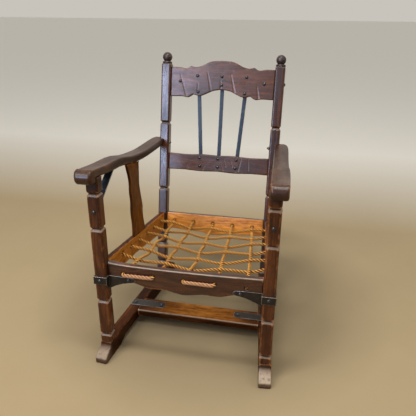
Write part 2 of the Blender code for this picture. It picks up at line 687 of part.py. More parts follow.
through = BACK_RAIL_THICK + BAR_THICK
crest_spots = []
lower_spots = []
for k in (-1, 0, 1):
    low_rise = CREST_NAIL_MIDDLE if k == 0 else CREST_NAIL_RISE
    for h in (CREST_TOP - CREST_NAIL_DROP, CREST_LOW + low_rise):
        crest_spots.append(((bar_x(k, h), BACK_RAIL_SET, h), (0, -1, 0)))
    for h in LOWER_NAILS:
        lower_spots.append(((bar_x(k, h), BACK_RAIL_SET, h), (0, -1, 0)))
end_spots = [((s * CREST_NAIL_END_X, BACK_RAIL_SET, CREST_NAIL_END_H), (0, -1, 0)) for side, s in SIDES]
rows = [bar + "_" + row for bar in ("left", "centre", "right") for row in ("high", "low")]
nails(["crest_nail_" + row for row in rows], crest_spots, through, [crest] + bars, back)
nails(["crest_end_nail_" + side for side, s in SIDES], end_spots, NAIL_LONG, [crest], back)
nails(["lower_rail_nail_" + row for row in rows], lower_spots, through, [lower] + bars, back)

# Front seat rail
rail_half = LEG_SPREAD - LEG / 2 - CLEAR
outline = [(share * rail_half, SEAT_FRONT_Z + rise) for share, rise in edge(FRONT_WEAR)]
scallop = mirrored((tuple((share, -deep) for share, deep in FRONT_SCALLOP),), rail_half, SEAT_FRONT_Z)
outline += scallop[::-1]
plank = plate("front_seat_rail", outline, FRONT_RAIL_SET, LEG, "xzy")
front_rail = part("front_seat_rail", plank, WOOD, chair)
front_mid = (FRONT_RAIL_SET + LEG) / 2
for side, s in SIDES:
    ends = sorted((s * (rail_half - TENON_ROOT), s * (rail_half + SEAT_TENON_LONG)))
    joint("front_rail_" + side, front_rail, leg[s],
          (ends[0], front_mid - SEAT_TENON_THICK / 2, SEAT_FRONT_Z - FRONT_TENON_DROP[1]),
          (ends[1], front_mid + SEAT_TENON_THICK / 2, SEAT_FRONT_Z - FRONT_TENON_DROP[0]), chair)
FRONT_HOLE_Z = SEAT_FRONT_Z - FRONT_HOLE_DROP
front_x = [FRONT_HOLE_PITCH * (j - (COLUMNS - 1) / 2) for j in range(COLUMNS)]
holes = [((x, 0.0, FRONT_HOLE_Z), (x, 2 * LEG, FRONT_HOLE_Z)) for x in front_x]
cut(front_rail, bores("front_rope_holes", holes, ROPE_HOLE / 2, chair))

# Rear seat rail, raked with the posts
rear_half = post_x(REAR_TOP) - POST_WIDE / 2
rear_end = rear_half + RAIL_OVERLAP
outline = [(-rear_end, REAR_TOP), (rear_end, REAR_TOP)]
scallop = mirrored((tuple((share, -deep) for share, deep in REAR_SCALLOP),), rear_half, REAR_TOP)
scallop[0] = (-rear_end, scallop[0][1])
scallop[-1] = (rear_end, scallop[-1][1])
outline += scallop[::-1]
rear_out = REAR_RAIL_SET + REAR_RAIL_THICK
plank = plate("rear_seat_rail", outline, REAR_RAIL_SET, rear_out, "xzy")
rear_rail = part("rear_seat_rail", plank, AMBER, back)
for side, s in SIDES:
    cut(rear_rail, post_body[s])
rear_mid = REAR_RAIL_SET + REAR_RAIL_THICK / 2
for side, s in SIDES:
    ends = sorted((s * (rear_half - TENON_ROOT), s * (rear_half + SEAT_TENON_LONG)))
    joint("rear_rail_" + side, rear_rail, post[s],
          (ends[0], rear_mid - SEAT_TENON_THICK / 2, REAR_TOP - REAR_TENON_DROP[1]),
          (ends[1], rear_mid + SEAT_TENON_THICK / 2, REAR_TOP - REAR_TENON_DROP[0]), back)
REAR_HOLE_H = REAR_TOP - REAR_HOLE_DROP
rear_x = [REAR_HOLE_PITCH * (j - (COLUMNS - 1) / 2) + REAR_HOLE_SHIFT for j in range(COLUMNS)]
holes = [((x, -OVERCUT, REAR_HOLE_H), (x, 2 * POST_DEEP, REAR_HOLE_H)) for x in rear_x]
cut(rear_rail, bores("rear_rope_holes", holes, ROPE_HOLE / 2, back))

# Side seat rails: each in its own turned frame, trimmed to leg and post
row_y = [ROW_FIRST_Y + ROW_PITCH * i for i in range(len(ROW_SAG))]


def side_q(y):
    return (y - LEG) / math.cos(SIDE_TURN)


def side_z(q):
    return seat_top(LEG + q * math.cos(SIDE_TURN))


side_rail = {}
for side, s in SIDES:
    name = "side_seat_rail_" + side
    reach = (-2 * RAIL_OVERLAP, SIDE_LONG + 3 * RAIL_OVERLAP)
    low_edge = [(share * SIDE_LONG, side_z(share * SIDE_LONG) - deep) for share, deep in edge(SIDE_SCALLOP)]
    outline = [(q, side_z(q)) for q in reach]
    outline += [(reach[1], side_z(reach[1]) - SIDE_SCALLOP[-1][1])] + low_edge[::-1]
    outline.append((reach[0], side_z(reach[0]) - SIDE_SCALLOP[0][1]))
    half = SIDE_RAIL_THICK / 2
    rail = part(name, plate(name, outline, -half, half, "yzx"), AMBER, side_frame[s])
    leg_body = box("leg_space_" + side, (s * LEG_SPREAD - LEG / 2, 0.0, 0.0),
                   (s * LEG_SPREAD + LEG / 2, LEG, ARM_Z), chair, CLEAR)
    cut(rail, leg_body)
    cut(rail, post_body[s])
    half = SEAT_TENON_THICK / 2
    joint("side_front_" + side, rail, leg[s], (-half, -SIDE_TENON_LONG, side_z(0.0) - SIDE_TENON_DROP[1]),
          (half, TENON_ROOT, side_z(0.0) - SIDE_TENON_DROP[0]), side_frame[s])
    end_z = side_z(SIDE_LONG)
    face = side_q(raked(0.0, 0.0, slope_h(end_z - SIDE_TENON_DROP[0], 0.0)).y)
    joint("side_rear_" + side, rail, post[s], (-half, face - 3 * TENON_ROOT, end_z - SIDE_TENON_DROP[1]),
          (half, face + SIDE_TENON_LONG - SIDE_TENON_SHORT, end_z - SIDE_TENON_DROP[0]), side_frame[s])
    holes = []
    for y in row_y:
        q = side_q(y)
        z = side_z(q) - ROW_HOLE_DROP
        holes.append(((-SIDE_RAIL_THICK, q, z), (SIDE_RAIL_THICK, q, z)))
    cut(rail, bores("row_rope_holes_" + side, holes, ROPE_HOLE / 2, side_frame[s]))
    side_rail[s] = rail

# Runners: sled feet with a worn toe, flat pads and a relieved underside
runner = {}
for side, s in SIDES:
    def ease(t):
        return RUNNER_ARCH * t * t * (3 - 2 * t)

    a, b = RUNNER_ARCH_SPAN
    under = [(-RUNNER_TOE + TOE_ROUND, 0.0)]
    under += [(a + RUNNER_ARCH_EASE * t, ease(t)) for t in (0.0, 0.25, 0.5, 0.75, 1.0)]
    under += [(b - RUNNER_ARCH_EASE * t, ease(t)) for t in (1.0, 0.75, 0.5, 0.25, 0.0)]
    under += [(RUNNER_HEEL - HEEL_ROUND, 0.0), (RUNNER_HEEL, HEEL_ROUND)]
    heel = [(RUNNER_HEEL - ahead, RUNNER_TALL - below) for ahead, below in HEEL_EASE]
    toe = [(-LEG / 2, RUNNER_TALL), (-LEG / 2, TOE_TOP)]
    for t in (0.3, 0.6, 0.85, 1.0):
        run = RUNNER_TOE - LEG / 2
        toe.append((-LEG / 2 - run * t, TOE_TOP - (TOE_TOP - TOE_TIP) * t ** TOE_CURVE))
    toe.append((-RUNNER_TOE, TOE_ROUND))
    name = "runner_" + side
    half = RUNNER_WIDE / 2
    sled = plate(name, under + heel + toe, -half, half, "yzx", RUNNER_CHAMFER)
    runner[s] = part(name, sled, WOOD, runner_frame[s])
    half = FOOT_TENON / 2
    foot_low = RUNNER_TALL - FOOT_TENON_LONG
    cut(runner[s], box("leg_foot_mortise_" + side, (s * LEG_SPREAD - half, LEG / 2 - half, foot_low),
                       (s * LEG_SPREAD + half, LEG / 2 + half, RUNNER_TALL + OVERCUT), chair, CLEAR))
    rings = []
    for drop in (FOOT_TENON_LONG + CLEAR, -OVERCUT):
        h = FOOT_H - drop
        half = FOOT_TENON / 2 + CLEAR
        tilt = math.tan(RAKE)
        rings.append(ring(s * post_x(h), POST_DEEP / 2, half, half, TENON_CHAMFER,
                          lambda d, h=h: h + (d - POST_DEEP / 2) * tilt))
    cut(runner[s], tool("post_foot_mortise_" + side, mesh_of(loft(rings), "post_foot_mortise"), back))

# Stretcher board between the runners, flush with their tops
board_end = LEG_SPREAD
outline = [(-board_end, BOARD_Y[0]), (board_end, BOARD_Y[0])]
outline += [(board_end, BOARD_Y[1]), (-board_end, BOARD_Y[1])]
board_low = RUNNER_TALL - BOARD_THICK
plank = plate("stretcher_board", outline, board_low, RUNNER_TALL, "xyz", BOARD_CHAMFER)
board = part("stretcher_board", plank, WOOD, chair)
board_mid = (BOARD_Y[0] + BOARD_Y[1]) / 2
for side, s in SIDES:
    space = box("runner_space_" + side, (-RUNNER_WIDE / 2, SCENE_LOW, SCENE_LOW),
                (RUNNER_WIDE / 2, SCENE_HIGH, SCENE_HIGH), runner_frame[s], CLEAR)
    cut(board, space)
    beyond = box("beyond_runner_" + side, (0.0, SCENE_LOW, SCENE_LOW),
                 (s * LEG_SPREAD, SCENE_HIGH, SCENE_HIGH), runner_frame[s])
    cut(board, beyond)
for side, s in SIDES:
    wide, thick, long = BOARD_TENON
    p = (board_mid - LEG / 2) / math.cos(RUNNER_TURN)
    z = RUNNER_TALL - BOARD_THICK / 2
    ends = sorted((-s * (RUNNER_WIDE / 2 + TENON_ROOT), -s * (RUNNER_WIDE / 2 - long)))
    joint("board_" + side, board, runner[s], (ends[0], p - wide / 2, z - thick / 2),
          (ends[1], p + wide / 2, z + thick / 2), runner_frame[s])

# Arms: lofted along their length, with a rolled nose that laps down in front of the leg
nose_r = NOSE_TALL / 2
nose_y = -NOSE_FRONT + nose_r
nose_z = ARM_Z - nose_r


def arm_section(s, y, inner, outer, low, high):
    r = min(ARM_EDGE_R, ARM_ROUND * (high - low), ARM_ROUND * (outer - inner))
    points = []
    for cx, cz, start in ((outer - r, low + r, -90), (outer - r, high - r, 0),
                          (inner + r, high - r, 90), (inner + r, low + r, 180)):
        for i in range(3):
            turn = math.radians(start + 45 * i)
            points.append((s * (cx + r * math.cos(turn)), y, cz + r * math.sin(turn)))
    return points


arm = {}
for side, s in SIDES:
    rings = []
    for degrees, inset in NOSE_RINGS:
        turn = math.radians(degrees)
        y = nose_y - nose_r * math.sin(turn)
        rise = nose_r * math.cos(turn)
        rings.append(arm_section(s, y, arm_inner(y) + inset, arm_inner(y) + ARM_WIDE[0][1] - inset,
                                 nose_z - rise, nose_z + rise))
    y = -2 * CLEAR
    outer = arm_inner(y) + ARM_WIDE[0][1]
    rings.append(arm_section(s, y, arm_inner(y), outer, nose_z - nose_r * NOSE_LAP, arm_top(0.0)))
    y = -CLEAR
    rings.append(arm_section(s, y, arm_inner(y), outer, arm_under(0.0), arm_top(0.0)))
    for share in ARM_RINGS:
        y = share * ARM_END_Y
        outer = arm_inner(y) + wave(ARM_WIDE, share)
        rings.append(arm_section(s, y, arm_inner(y), outer, arm_under(y), arm_top(y)))
    name = "arm_" + side
    arm[s] = part(name, mesh_of(loft(rings), name), WOOD, chair)
    cut(arm[s], post_body[s])
    half = ARM_TENON / 2
    deep = arm_under(0.0) + ARM_TENON_LONG + CLEAR
    cut(arm[s], box("arm_mortise_" + side, (s * LEG_SPREAD - half, LEG / 2 - half, arm_under(LEG) - OVERCUT),
                    (s * LEG_SPREAD + half, LEG / 2 + half, deep), chair, CLEAR))

# Arm bolts: through the post into the ear of the arm
bolt_long = POST_WIDE + BOLT_BITE
bolt_shape = [(wide * BOLT_HEAD, high * BOLT_POINT) for wide, high in BOLT_SHAPE]
bolt_shape += [(BOLT_R, 0.0), (BOLT_R, -bolt_long), (0.0, -bolt_long)]
bolt = turned("arm_bolt", bolt_shape, 10)
for side, s in SIDES:
    h = slope_h(arm_top(ARM_BOLT_AT * ARM_END_Y) - ARM_BOLT_DROP, ARM_BOLT_IN)
    face = post_x(h) - POST_WIDE / 2
    thing = part("arm_bolt_" + side, bolt, IRON, back)
    thing.location = (s * (face - CLEAR), ARM_BOLT_IN, h)
    thing.rotation_euler = toward((-s, 0, 0)).to_euler()
    bolt_bore = bores("arm_bolt_bore_" + side, [((s * (face - OVERCUT), ARM_BOLT_IN, h),
                                                 (s * (face + bolt_long + CLEAR), ARM_BOLT_IN, h))],
                      BOLT_R + CLEAR, back, 10)
    cut(post[s], bolt_bore)
    cut(arm[s], bolt_bore)

# Arm splats: flat wavy boards on the side rails, leaning out to the arms
splat = {}
for side, s in SIDES:
    inner = SIDE_RAIL_THICK / 2
    base_q = side_q((SPLAT_FRONT[0][1] + SPLAT_REAR[0][1]) / 2)
    base_z = side_z(base_q)
    lean = frame("splat_frame_" + side, side_frame[s], (-s * inner, 0.0, base_z), (0.0, s * SPLAT_LEAN, 0.0))
    front = [(side_q(y), share) for share, y in edge(SPLAT_FRONT)]
    rear = [(side_q(y), share) for share, y in edge(SPLAT_REAR)]

    def foot_v(q):
        return (side_z(q) + CLEAR + SPLAT_THICK * math.sin(SPLAT_LEAN) - base_z) / math.cos(SPLAT_LEAN)

    def head_v(q):
        return (arm_under(LEG + q * math.cos(SIDE_TURN)) - CLEAR - base_z) / math.cos(SPLAT_LEAN)

    def up(q, share):
        return foot_v(q) + share * (head_v(q) - foot_v(q))

    outline = [(q, up(q, share)) for q, share in front]
    for t in (0.25, 0.5, 0.75):
        q = front[-1][0] + (rear[-1][0] - front[-1][0]) * t
        outline.append((q, head_v(q)))
    outline += [(q, up(q, share)) for q, share in rear[::-1]]
    name = "arm_splat_" + side
    span = sorted((s * SPLAT_PROUD, s * (SPLAT_PROUD + SPLAT_THICK)))
    splat[s] = part(name, plate(name, outline, span[0], span[1], "yzx"), WOOD, lean)
    wide, thick, long = SPLAT_TENON
    mid_x = s * (SPLAT_PROUD + SPLAT_THICK / 2)
    head_q = base_q - SPLAT_HEAD_SHIFT
    for where, host, q, way in (("low", side_rail[s], base_q, -1), ("high", arm[s], head_q, 1)):
        v = foot_v(q) if way < 0 else head_v(q)
        ends = sorted((v - way * TENON_ROOT, v + way * long))
        joint("splat_" + where + "_" + side, splat[s], host, (mid_x - thick / 2, q - wide / 2, ends[0]),
              (mid_x + thick / 2, q + wide / 2, ends[1]), lean)

# Arm braces: flat iron bent from the back of the leg to the underside of the arm
brace = {}
brace_spots = []
grip = CLEAR + BRACE_THICK / 2
for side, s in SIDES:
    path = [(LEG + grip, ARM_Z - drop) for drop in BRACE_DROP]
    for y in BRACE_ARM_Y:
        path.append((y, arm_under(y) - grip - BRACE_GAP))
    half = BRACE_WIDE / 2
    columns = [((s * LEG_SPREAD - half, y, z), (s * LEG_SPREAD + half, y, z)) for y, z in path]
    brace[s] = sheet("arm_brace_" + side, columns, BRACE_THICK, chair)
    y = BRACE_ARM_Y[0] + BRACE_NAIL_AT * (BRACE_ARM_Y[1] - BRACE_ARM_Y[0])
    fall = (arm_under(BRACE_ARM_Y[1]) - arm_under(BRACE_ARM_Y[0])) / (BRACE_ARM_Y[1] - BRACE_ARM_Y[0])
    low = Vector((s * LEG_SPREAD, LEG + 2 * grip, ARM_Z - BRACE_DROP[0] + BRACE_NAIL_UP))
    high = Vector((s * LEG_SPREAD, y, arm_under(y) - 2 * grip - BRACE_GAP - RIVET_BITE))
    places = nail_places([(low, (0, 1, 0)), (high, (0, fall, -1))], -RIVET_BITE)
    for k, (point, out) in enumerate(places):
        rivet = tool("brace_nail_" + side + str(k), nail_mesh("brace_nail", NAIL_LONG), chair)
        rivet.location = point
        rivet.rotation_euler = toward(out).to_euler()
        fuse(brace[s], rivet)
    drill("brace_nail_holes_" + side, places, NAIL_LONG, [leg[s], arm[s]], chair)

# Front corner straps: round the leg, back to the rail and along its scalloped edge
strap = {}
grip = CLEAR + STRAP_THICK / 2
rail_y = FRONT_RAIL_SET - grip
front_edge = [(share * rail_half, SEAT_FRONT_Z - deep) for share, deep in FRONT_SCALLOP]
for side, s in SIDES:
    inner = LEG_SPREAD - LEG / 2 - grip
    outer = LEG_SPREAD + LEG / 2 + grip
    high = SEAT_FRONT_Z - STRAP_DROP
    low = high - STRAP_TALL
    nail_z = low + STRAP_NAIL_UP
    corner = wave(front_edge, inner) + STRAP_EDGE
    columns = [(outer, STRAP_RETURN, low, high), (outer, -grip, low, high), (inner, -grip, low, high),
               (inner, rail_y, corner, high - STRAP_SINK)]
    for share in (0.25, 0.5, 0.75, 0.90):
        x = inner - share * STRAP_REACH
        strap_low = wave(front_edge, x) + STRAP_EDGE + STRAP_TAPER * share ** 6
        columns.append((x, rail_y, strap_low, high - STRAP_TAPER - STRAP_TAPER * share ** 4))
    x = inner - STRAP_REACH
    middle = (wave(front_edge, x) + high) / 2
    for step, half in STRAP_TIP:
        columns.append((x + step, rail_y, middle - half, middle + half))
    pairs = [((s * px, py, za), (s * px, py, zb)) for px, py, za, zb in columns]
    strap[s] = sheet("front_strap_" + side, pairs, STRAP_THICK, chair)
    spots = [((s * LEG_SPREAD, -2 * grip, nail_z), (0, -1, 0)),
             ((s * (inner - STRAP_NAIL_AT * STRAP_REACH), rail_y - grip, nail_z), (0, -1, 0))]
    nails(["front_strap_nail_" + side + end for end in ("_leg", "_rail")], spots, NAIL_LONG,
          [strap[s], leg[s], front_rail], chair)

# Straps over the ends of the stretcher board
strap_outer = LEG_SPREAD - BOARD_STRAP_IN
strap_inner = strap_outer - BOARD_STRAP_LONG
for side, s in SIDES:
    name = "stretcher_strap_" + side
    mid = (BOARD_STRAP_Y[0] + BOARD_STRAP_Y[1]) / 2
    half = (BOARD_STRAP_Y[1] - BOARD_STRAP_Y[0]) / 2
    lag = half * math.tan(RUNNER_TURN)
    outline = [(s * (strap_outer - lag), mid + half), (s * (strap_outer + lag), mid - half)]
    for i in range(7):
        turn = math.radians(-90 + 30 * i)
        x = strap_inner + BOARD_STRAP_ROUND * half * (1 - math.cos(turn))
        outline.append((s * x, mid + half * math.sin(turn)))
    top = RUNNER_TALL + CLEAR + STRAP_THICK
    flat = part(name, plate(name, outline, RUNNER_TALL + CLEAR, top, "xyz", IRON_CHAMFER), IRON, chair)
    spots = [((s * (strap_inner + BOARD_NAIL_IN[0]), mid, top), (0, 0, 1)),
             ((s * (strap_outer - BOARD_NAIL_IN[1]), mid, top), (0, 0, 1))]
    nails(["stretcher_nail_" + side + end for end in ("_board", "_runner")], spots, NAIL_LONG,
          [flat, board, runner[s]], chair)

# Nails on the legs and on the outer sides of the posts
leg_spots = [((s * LEG_SPREAD, 0.0, LEG_NAIL_Z), (0, -1, 0)) for side, s in SIDES]
nails(["leg_nail_" + side for side, s in SIDES], leg_spots, NAIL_LONG, [leg[1], leg[-1]], chair)
post_spots = []
for side, s in SIDES:
    out = post_x(CREST_NAIL_END_H) + POST_WIDE / 2
    post_spots.append(((s * out, POST_DEEP / 2, CREST_NAIL_END_H), (s, 0, 0)))
nails(["post_nail_" + side for side, s in SIDES], post_spots, NAIL_LONG, [post[1], post[-1]], back)

# Rope seat: two ropes, each one length, laced through the rails and woven over and under
THIN = ROPE / 2
FAT = ROPE_OUTSIDE / 2
TURN_R = FAT + 2 * CLEAR


def side_point(s, out, q, z):
    """A point of a side rail's frame in the chair's frame; out is away from the middle."""
    turn = s * SIDE_TURN
    x = s * out
    return Vector((s * SIDE_X + x * math.cos(turn) - q * math.sin(turn),
                   LEG + x * math.sin(turn) + q * math.cos(turn), z))


def outside(a, b, out):
    """Rope out of hole a, along the rail's face and into hole b."""
    along = (b - a).normalized()
    line = []
    for degrees in (0, 30, 60, 90):
        turn = math.radians(degrees)
        step = along * TURN_R * (1 - math.cos(turn)) + out * TURN_R * math.sin(turn)
        line.append((step, THIN + (FAT - THIN) * degrees / 90))
    first = [(a + step, r) for step, r in line]
    last = []
    for step, r in line[::-1]:
        last.append((b + out * step.dot(out) - along * step.dot(along), r))
    return first + last


def knot(mouth, out):
    """Stopper knot outside a rail, from its end to the hole's mouth."""
    shape = ((KNOT_LONG, 0.5 * THIN), (0.93 * KNOT_LONG, 0.34 * KNOT), (0.7 * KNOT_LONG, 0.49 * KNOT),
             (0.38 * KNOT_LONG, 0.5 * KNOT), (0.08 * KNOT_LONG, 0.38 * KNOT), (2 * CLEAR, THIN))
    return [(mouth + out * reach, r) for reach, r in shape]


def strung(points, steps):
    """A smooth line through points, straight at both ends."""
    line = []
    for k in range(len(points) - 1):
        p0 = points[max(k - 1, 0)]
        p1 = points[k]
        p2 = points[k + 1]
        p3 = points[min(k + 2, len(points) - 1)]
        for i in range(steps):
            t = i / steps
            line.append(0.5 * (2 * p1 + (p2 - p0) * t + (2 * p0 - 5 * p1 + 4 * p2 - p3) * t * t
                               + (3 * p1 - p0 - 3 * p2 + p3) * t ** 3))
    return line + [points[-1]]


row_z = [side_z(side_q(y)) - ROW_HOLE_DROP - ROPE_LOW for y in row_y]
inner_face = [side_point(1, -SIDE_RAIL_THICK / 2, side_q(y), 0.0).x for y in row_y]
front_z = FRONT_HOLE_Z - ROPE_LOW
rear_mouth = [raked(x, REAR_RAIL_SET, REAR_HOLE_H - ROPE_LOW) for x in rear_x]
rear_face = [raked(x, rear_out, REAR_HOLE_H - ROPE_LOW) for x in rear_x]
front_mouth = [Vector((x, LEG, front_z)) for x in front_x]
front_face = [Vector((x, FRONT_RAIL_SET, front_z)) for x in front_x]
back_out = raked(0.0, 1.0, 0.0) - raked(0.0, 0.0, 0.0)
front_out = Vector((0.0, -1.0, 0.0))


def crossing(i, j):
    share = (row_y[i] - LEG) / (rear_mouth[j].y - LEG)
    x = front_x[j] + (rear_x[j] - front_x[j]) * share + COLUMN_BOW[j] * (1 - (2 * share - 1) ** 4)
    sag = ROW_SAG[i] * (1 - (x / inner_face[i]) ** 2)
    return Vector((x, row_y[i], row_z[i] - sag))


def over(i, j):
    return WEAVE if (i + j) % 2 == 0 else -WEAVE


up_z = Vector((0.0, 0.0, 1.0))


def column(j):
    """Front mouth to rear mouth."""
    points = [front_mouth[j]]
    points += [crossing(i, j) + up_z * over(i, j) for i in range(len(row_y))]
    points.append(rear_mouth[j])
    return [(p, THIN) for p in strung(points, 2)]


def row(i):
    """Left mouth to right mouth."""
    mouths = [side_point(s, -SIDE_RAIL_THICK / 2, side_q(row_y[i]), row_z[i]) for s in (-1, 1)]
    points = [mouths[0]] + [crossing(i, j) - up_z * over(i, j) for j in range(COLUMNS)] + [mouths[1]]
    return [(p, THIN) for p in strung(points, 3)]


lengthwise = knot(rear_face[0], back_out)
for j in range(COLUMNS):
    run = column(j)
    if j % 2 == 0:
        run = run[::-1]
    lengthwise += run
    if j == COLUMNS - 1:
        lengthwise.append((front_face[j] - Vector((0.0, CLEAR, 0.0)), THIN))
    elif j % 2 == 0:
        lengthwise += outside(front_face[j], front_face[j + 1], front_out)
    else:
        lengthwise += outside(rear_face[j], rear_face[j + 1], back_out)

side_out = {s: (side_point(s, 1.0, 0.0, 0.0) - side_point(s, 0.0, 0.0, 0.0)) for side, s in SIDES}
side_mouth = {}
for side, s in SIDES:
    side_mouth[s] = [side_point(s, SIDE_RAIL_THICK / 2, side_q(y), z) for y, z in zip(row_y, row_z)]
crosswise = knot(side_mouth[1][0], side_out[1])
for i in range(len(row_y)):
    run = row(i)
    if i % 2 == 0:
        run = run[::-1]
    crosswise += run
    s = -1 if i % 2 == 0 else 1
    if i == len(row_y) - 1:
        crosswise += knot(side_mouth[s][i], side_out[s])[::-1]
    else:
        crosswise += outside(side_mouth[s][i], side_mouth[s][i + 1], side_out[s])


def rope(name, line):
    curve = bpy.data.curves.new(name, "CURVE")
    curve.dimensions = "3D"
    curve.bevel_depth = 1.0
    curve.bevel_resolution = 2
    curve.use_fill_caps = True
    spline = curve.splines.new("POLY")
    spline.points.add(len(line) - 1)
    for point, (place, r) in zip(spline.points, line):
        point.co = (*place, 1.0)
        point.radius = r
    thing = bpy.data.objects.new(name + "_line", curve)
    cutters.objects.link(thing)
    mesh = evaluated(thing)
    bpy.data.objects.remove(thing, do_unlink=True)
    bm = bmesh.new()
    bm.from_mesh(mesh)
    bmesh.ops.remove_doubles(bm, verts=bm.verts, dist=0.00001)
    return part(name, mesh_of(bm, name), FIBRE, chair)


rope("seat_rope_lengthwise", lengthwise)
rope("seat_rope_crosswise", crosswise)


def spread(line, step=0.004):
    """Close points along a rope, each with its distance from the start."""
    points = []
    gone = 0.0
    for (a, ra), (b, rb) in zip(line, line[1:]):
        count = max(1, math.ceil((b - a).length / step))
        for k in range(count):
            t = k / count
            points.append((a.lerp(b, t), ra + (rb - ra) * t, gone + (b - a).length * t))
        gone += (b - a).length
    return points


def least_gap(one, other, apart):
    least = 1.0
    for p, r, u in one:
        for q, w, v in other:
            if apart and abs(u - v) < apart:
                continue
            least = min(least, (p - q).length - r - w)
    return least


long_line = spread(lengthwise)
cross_line = spread(crosswise)
print("rope gaps, mm: lengthwise", round(1000 * least_gap(long_line, long_line, 0.03), 2),
      "crosswise", round(1000 * least_gap(cross_line, cross_line, 0.03), 2),
      "between", round(1000 * least_gap(long_line, cross_line, 0.0), 2))
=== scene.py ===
# %% [markdown]
# # Rope seat armchair, dressed
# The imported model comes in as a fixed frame, in metres: every board, strap and nail is already in its place.
# This lesson gives each of them its skin. The wood is hewn and worn, the iron is hammered, and the seat is a
# net of rope that is really twisted. Nothing is moved and nothing grows beyond the CAD model's box.

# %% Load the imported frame
import math

import bpy
import numpy as np
from mathutils import Matrix, Vector, noise
from mathutils.bvhtree import BVHTree


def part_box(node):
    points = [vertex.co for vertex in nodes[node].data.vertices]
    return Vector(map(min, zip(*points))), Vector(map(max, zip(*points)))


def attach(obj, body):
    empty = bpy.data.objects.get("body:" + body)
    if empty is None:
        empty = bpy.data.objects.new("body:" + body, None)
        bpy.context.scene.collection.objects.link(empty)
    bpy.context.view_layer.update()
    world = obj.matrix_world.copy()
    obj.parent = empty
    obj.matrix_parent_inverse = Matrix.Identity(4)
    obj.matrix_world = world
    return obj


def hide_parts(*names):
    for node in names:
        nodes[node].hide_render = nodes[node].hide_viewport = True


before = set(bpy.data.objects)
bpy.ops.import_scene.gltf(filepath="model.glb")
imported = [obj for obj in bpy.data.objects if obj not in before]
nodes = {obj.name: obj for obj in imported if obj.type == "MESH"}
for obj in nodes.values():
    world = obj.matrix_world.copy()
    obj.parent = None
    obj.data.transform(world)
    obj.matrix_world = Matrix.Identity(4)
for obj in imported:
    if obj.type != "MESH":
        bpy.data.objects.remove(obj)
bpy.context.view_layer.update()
LEGS_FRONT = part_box("front_leg_left")[0].y
print("pieces in the frame:", len(nodes), "legs' front faces at y =", round(LEGS_FRONT, 4))

# %% [markdown]
# ## Camera
# The chair was seen from the front right, a little above the arms. A camera could be aimed with a Track To
# constraint, but here the eye, the three angles and the focal length are known, so its axes are written
# straight into a matrix: right, up and backwards are the three columns.

# %% Camera at the photograph's angle
IMAGE_PIXELS = 416
FOCAL_PIXELS = 468.16
SENSOR = 36.0
EYE = Vector((0.3265, LEGS_FRONT - 1.2032, 1.1239))
YAW = -0.2003
PITCH = 0.4066
ROLL = 0.0067
ahead = Vector((math.sin(YAW) * math.cos(PITCH), math.cos(YAW) * math.cos(PITCH), -math.sin(PITCH)))
level_right = Vector((math.cos(YAW), -math.sin(YAW), 0.0))
level_up = level_right.cross(ahead)
camera_right = level_right * math.cos(ROLL) + level_up * math.sin(ROLL)
camera_up = level_up * math.cos(ROLL) - level_right * math.sin(ROLL)
lens = bpy.data.cameras.new("photo_angle")
lens.sensor_width = SENSOR
lens.lens = FOCAL_PIXELS / IMAGE_PIXELS * SENSOR
camera = bpy.data.objects.new("photo_angle", lens)
bpy.context.scene.collection.objects.link(camera)
camera_axes = Matrix((camera_right, camera_up, -ahead)).transposed().to_4x4()
camera_axes.translation = EYE
camera.matrix_world = camera_axes
bpy.context.scene.camera = camera
print("lens", round(lens.lens, 2), "mm, eye", [round(c, 3) for c in EYE])

# %% [markdown]
# ## Shader helpers
# Materials are built from nodes, and each node could be wired by hand. Written out like that, a finish fills
# pages, so small helpers place a node with its settings, do sums on sockets or numbers, mix two colours,
# stretch a range or a noise, and make and use node groups.

# %% Helpers for node trees
MIX_SHARE = 0
MIX_UNDER = 6
MIX_OVER = 7
MIX_COLOUR = 2


def place(tree, kind, settings=None, values=None):
    """One shader node with its settings and input values."""
    node = tree.nodes.new(kind)
    for name, value in (settings or {}).items():
        setattr(node, name, value)
    for name, value in (values or {}).items():
        node.inputs[name].default_value = value
    return node


def feed(tree, socket, source):
    """Links a socket, or sets a plain number or colour on it."""
    if isinstance(source, bpy.types.NodeSocket):
        tree.links.new(source, socket)
    else:
        socket.default_value = source


def sums(tree, operation, first, second, clamp=False):
    """Arithmetic on two sockets or numbers."""
    node = place(tree, "ShaderNodeMath", {"operation": operation, "use_clamp": clamp})
    feed(tree, node.inputs[0], first)
    feed(tree, node.inputs[1], second)
    return node.outputs[0]


def plus(tree, first, second, clamp=False):
    """The sum of two sockets or numbers."""
    return sums(tree, "ADD", first, second, clamp)


def times(tree, first, second, clamp=False):
    """The product of two sockets or numbers."""
    return sums(tree, "MULTIPLY", first, second, clamp)


def mixed(tree, share, under, over, way="MIX"):
    """Two colours mixed by a share between 0 and 1."""
    node = place(tree, "ShaderNodeMix", {"data_type": "RGBA", "blend_type": way})
    feed(tree, node.inputs[MIX_SHARE], share)
    feed(tree, node.inputs[MIX_UNDER], under)
    feed(tree, node.inputs[MIX_OVER], over)
    return node.outputs[MIX_COLOUR]


def spread(tree, value, low, high, to_low=0.0, to_high=1.0):
    """A value stretched from one range to another, and clamped."""
    node = place(tree, "ShaderNodeMapRange", {"clamp": True})
    feed(tree, node.inputs[0], value)
    for socket, number in zip(node.inputs[1:5], (low, high, to_low, to_high)):
        socket.default_value = number
    return node.outputs[0]


def stretched_noise(tree, vector, scale, detail=4.0, rough=0.6, twist=0.0):
    """Noise on a vector that is first scaled by a different amount along each axis."""
    mapping = place(tree, "ShaderNodeMapping", None, {"Scale": scale})
    tree.links.new(vector, mapping.inputs["Vector"])
    values = {"Scale": 1.0, "Detail": detail, "Roughness": rough, "Distortion": twist}
    texture = place(tree, "ShaderNodeTexNoise", None, values)
    tree.links.new(mapping.outputs[0], texture.inputs["Vector"])
    return texture.outputs[0]


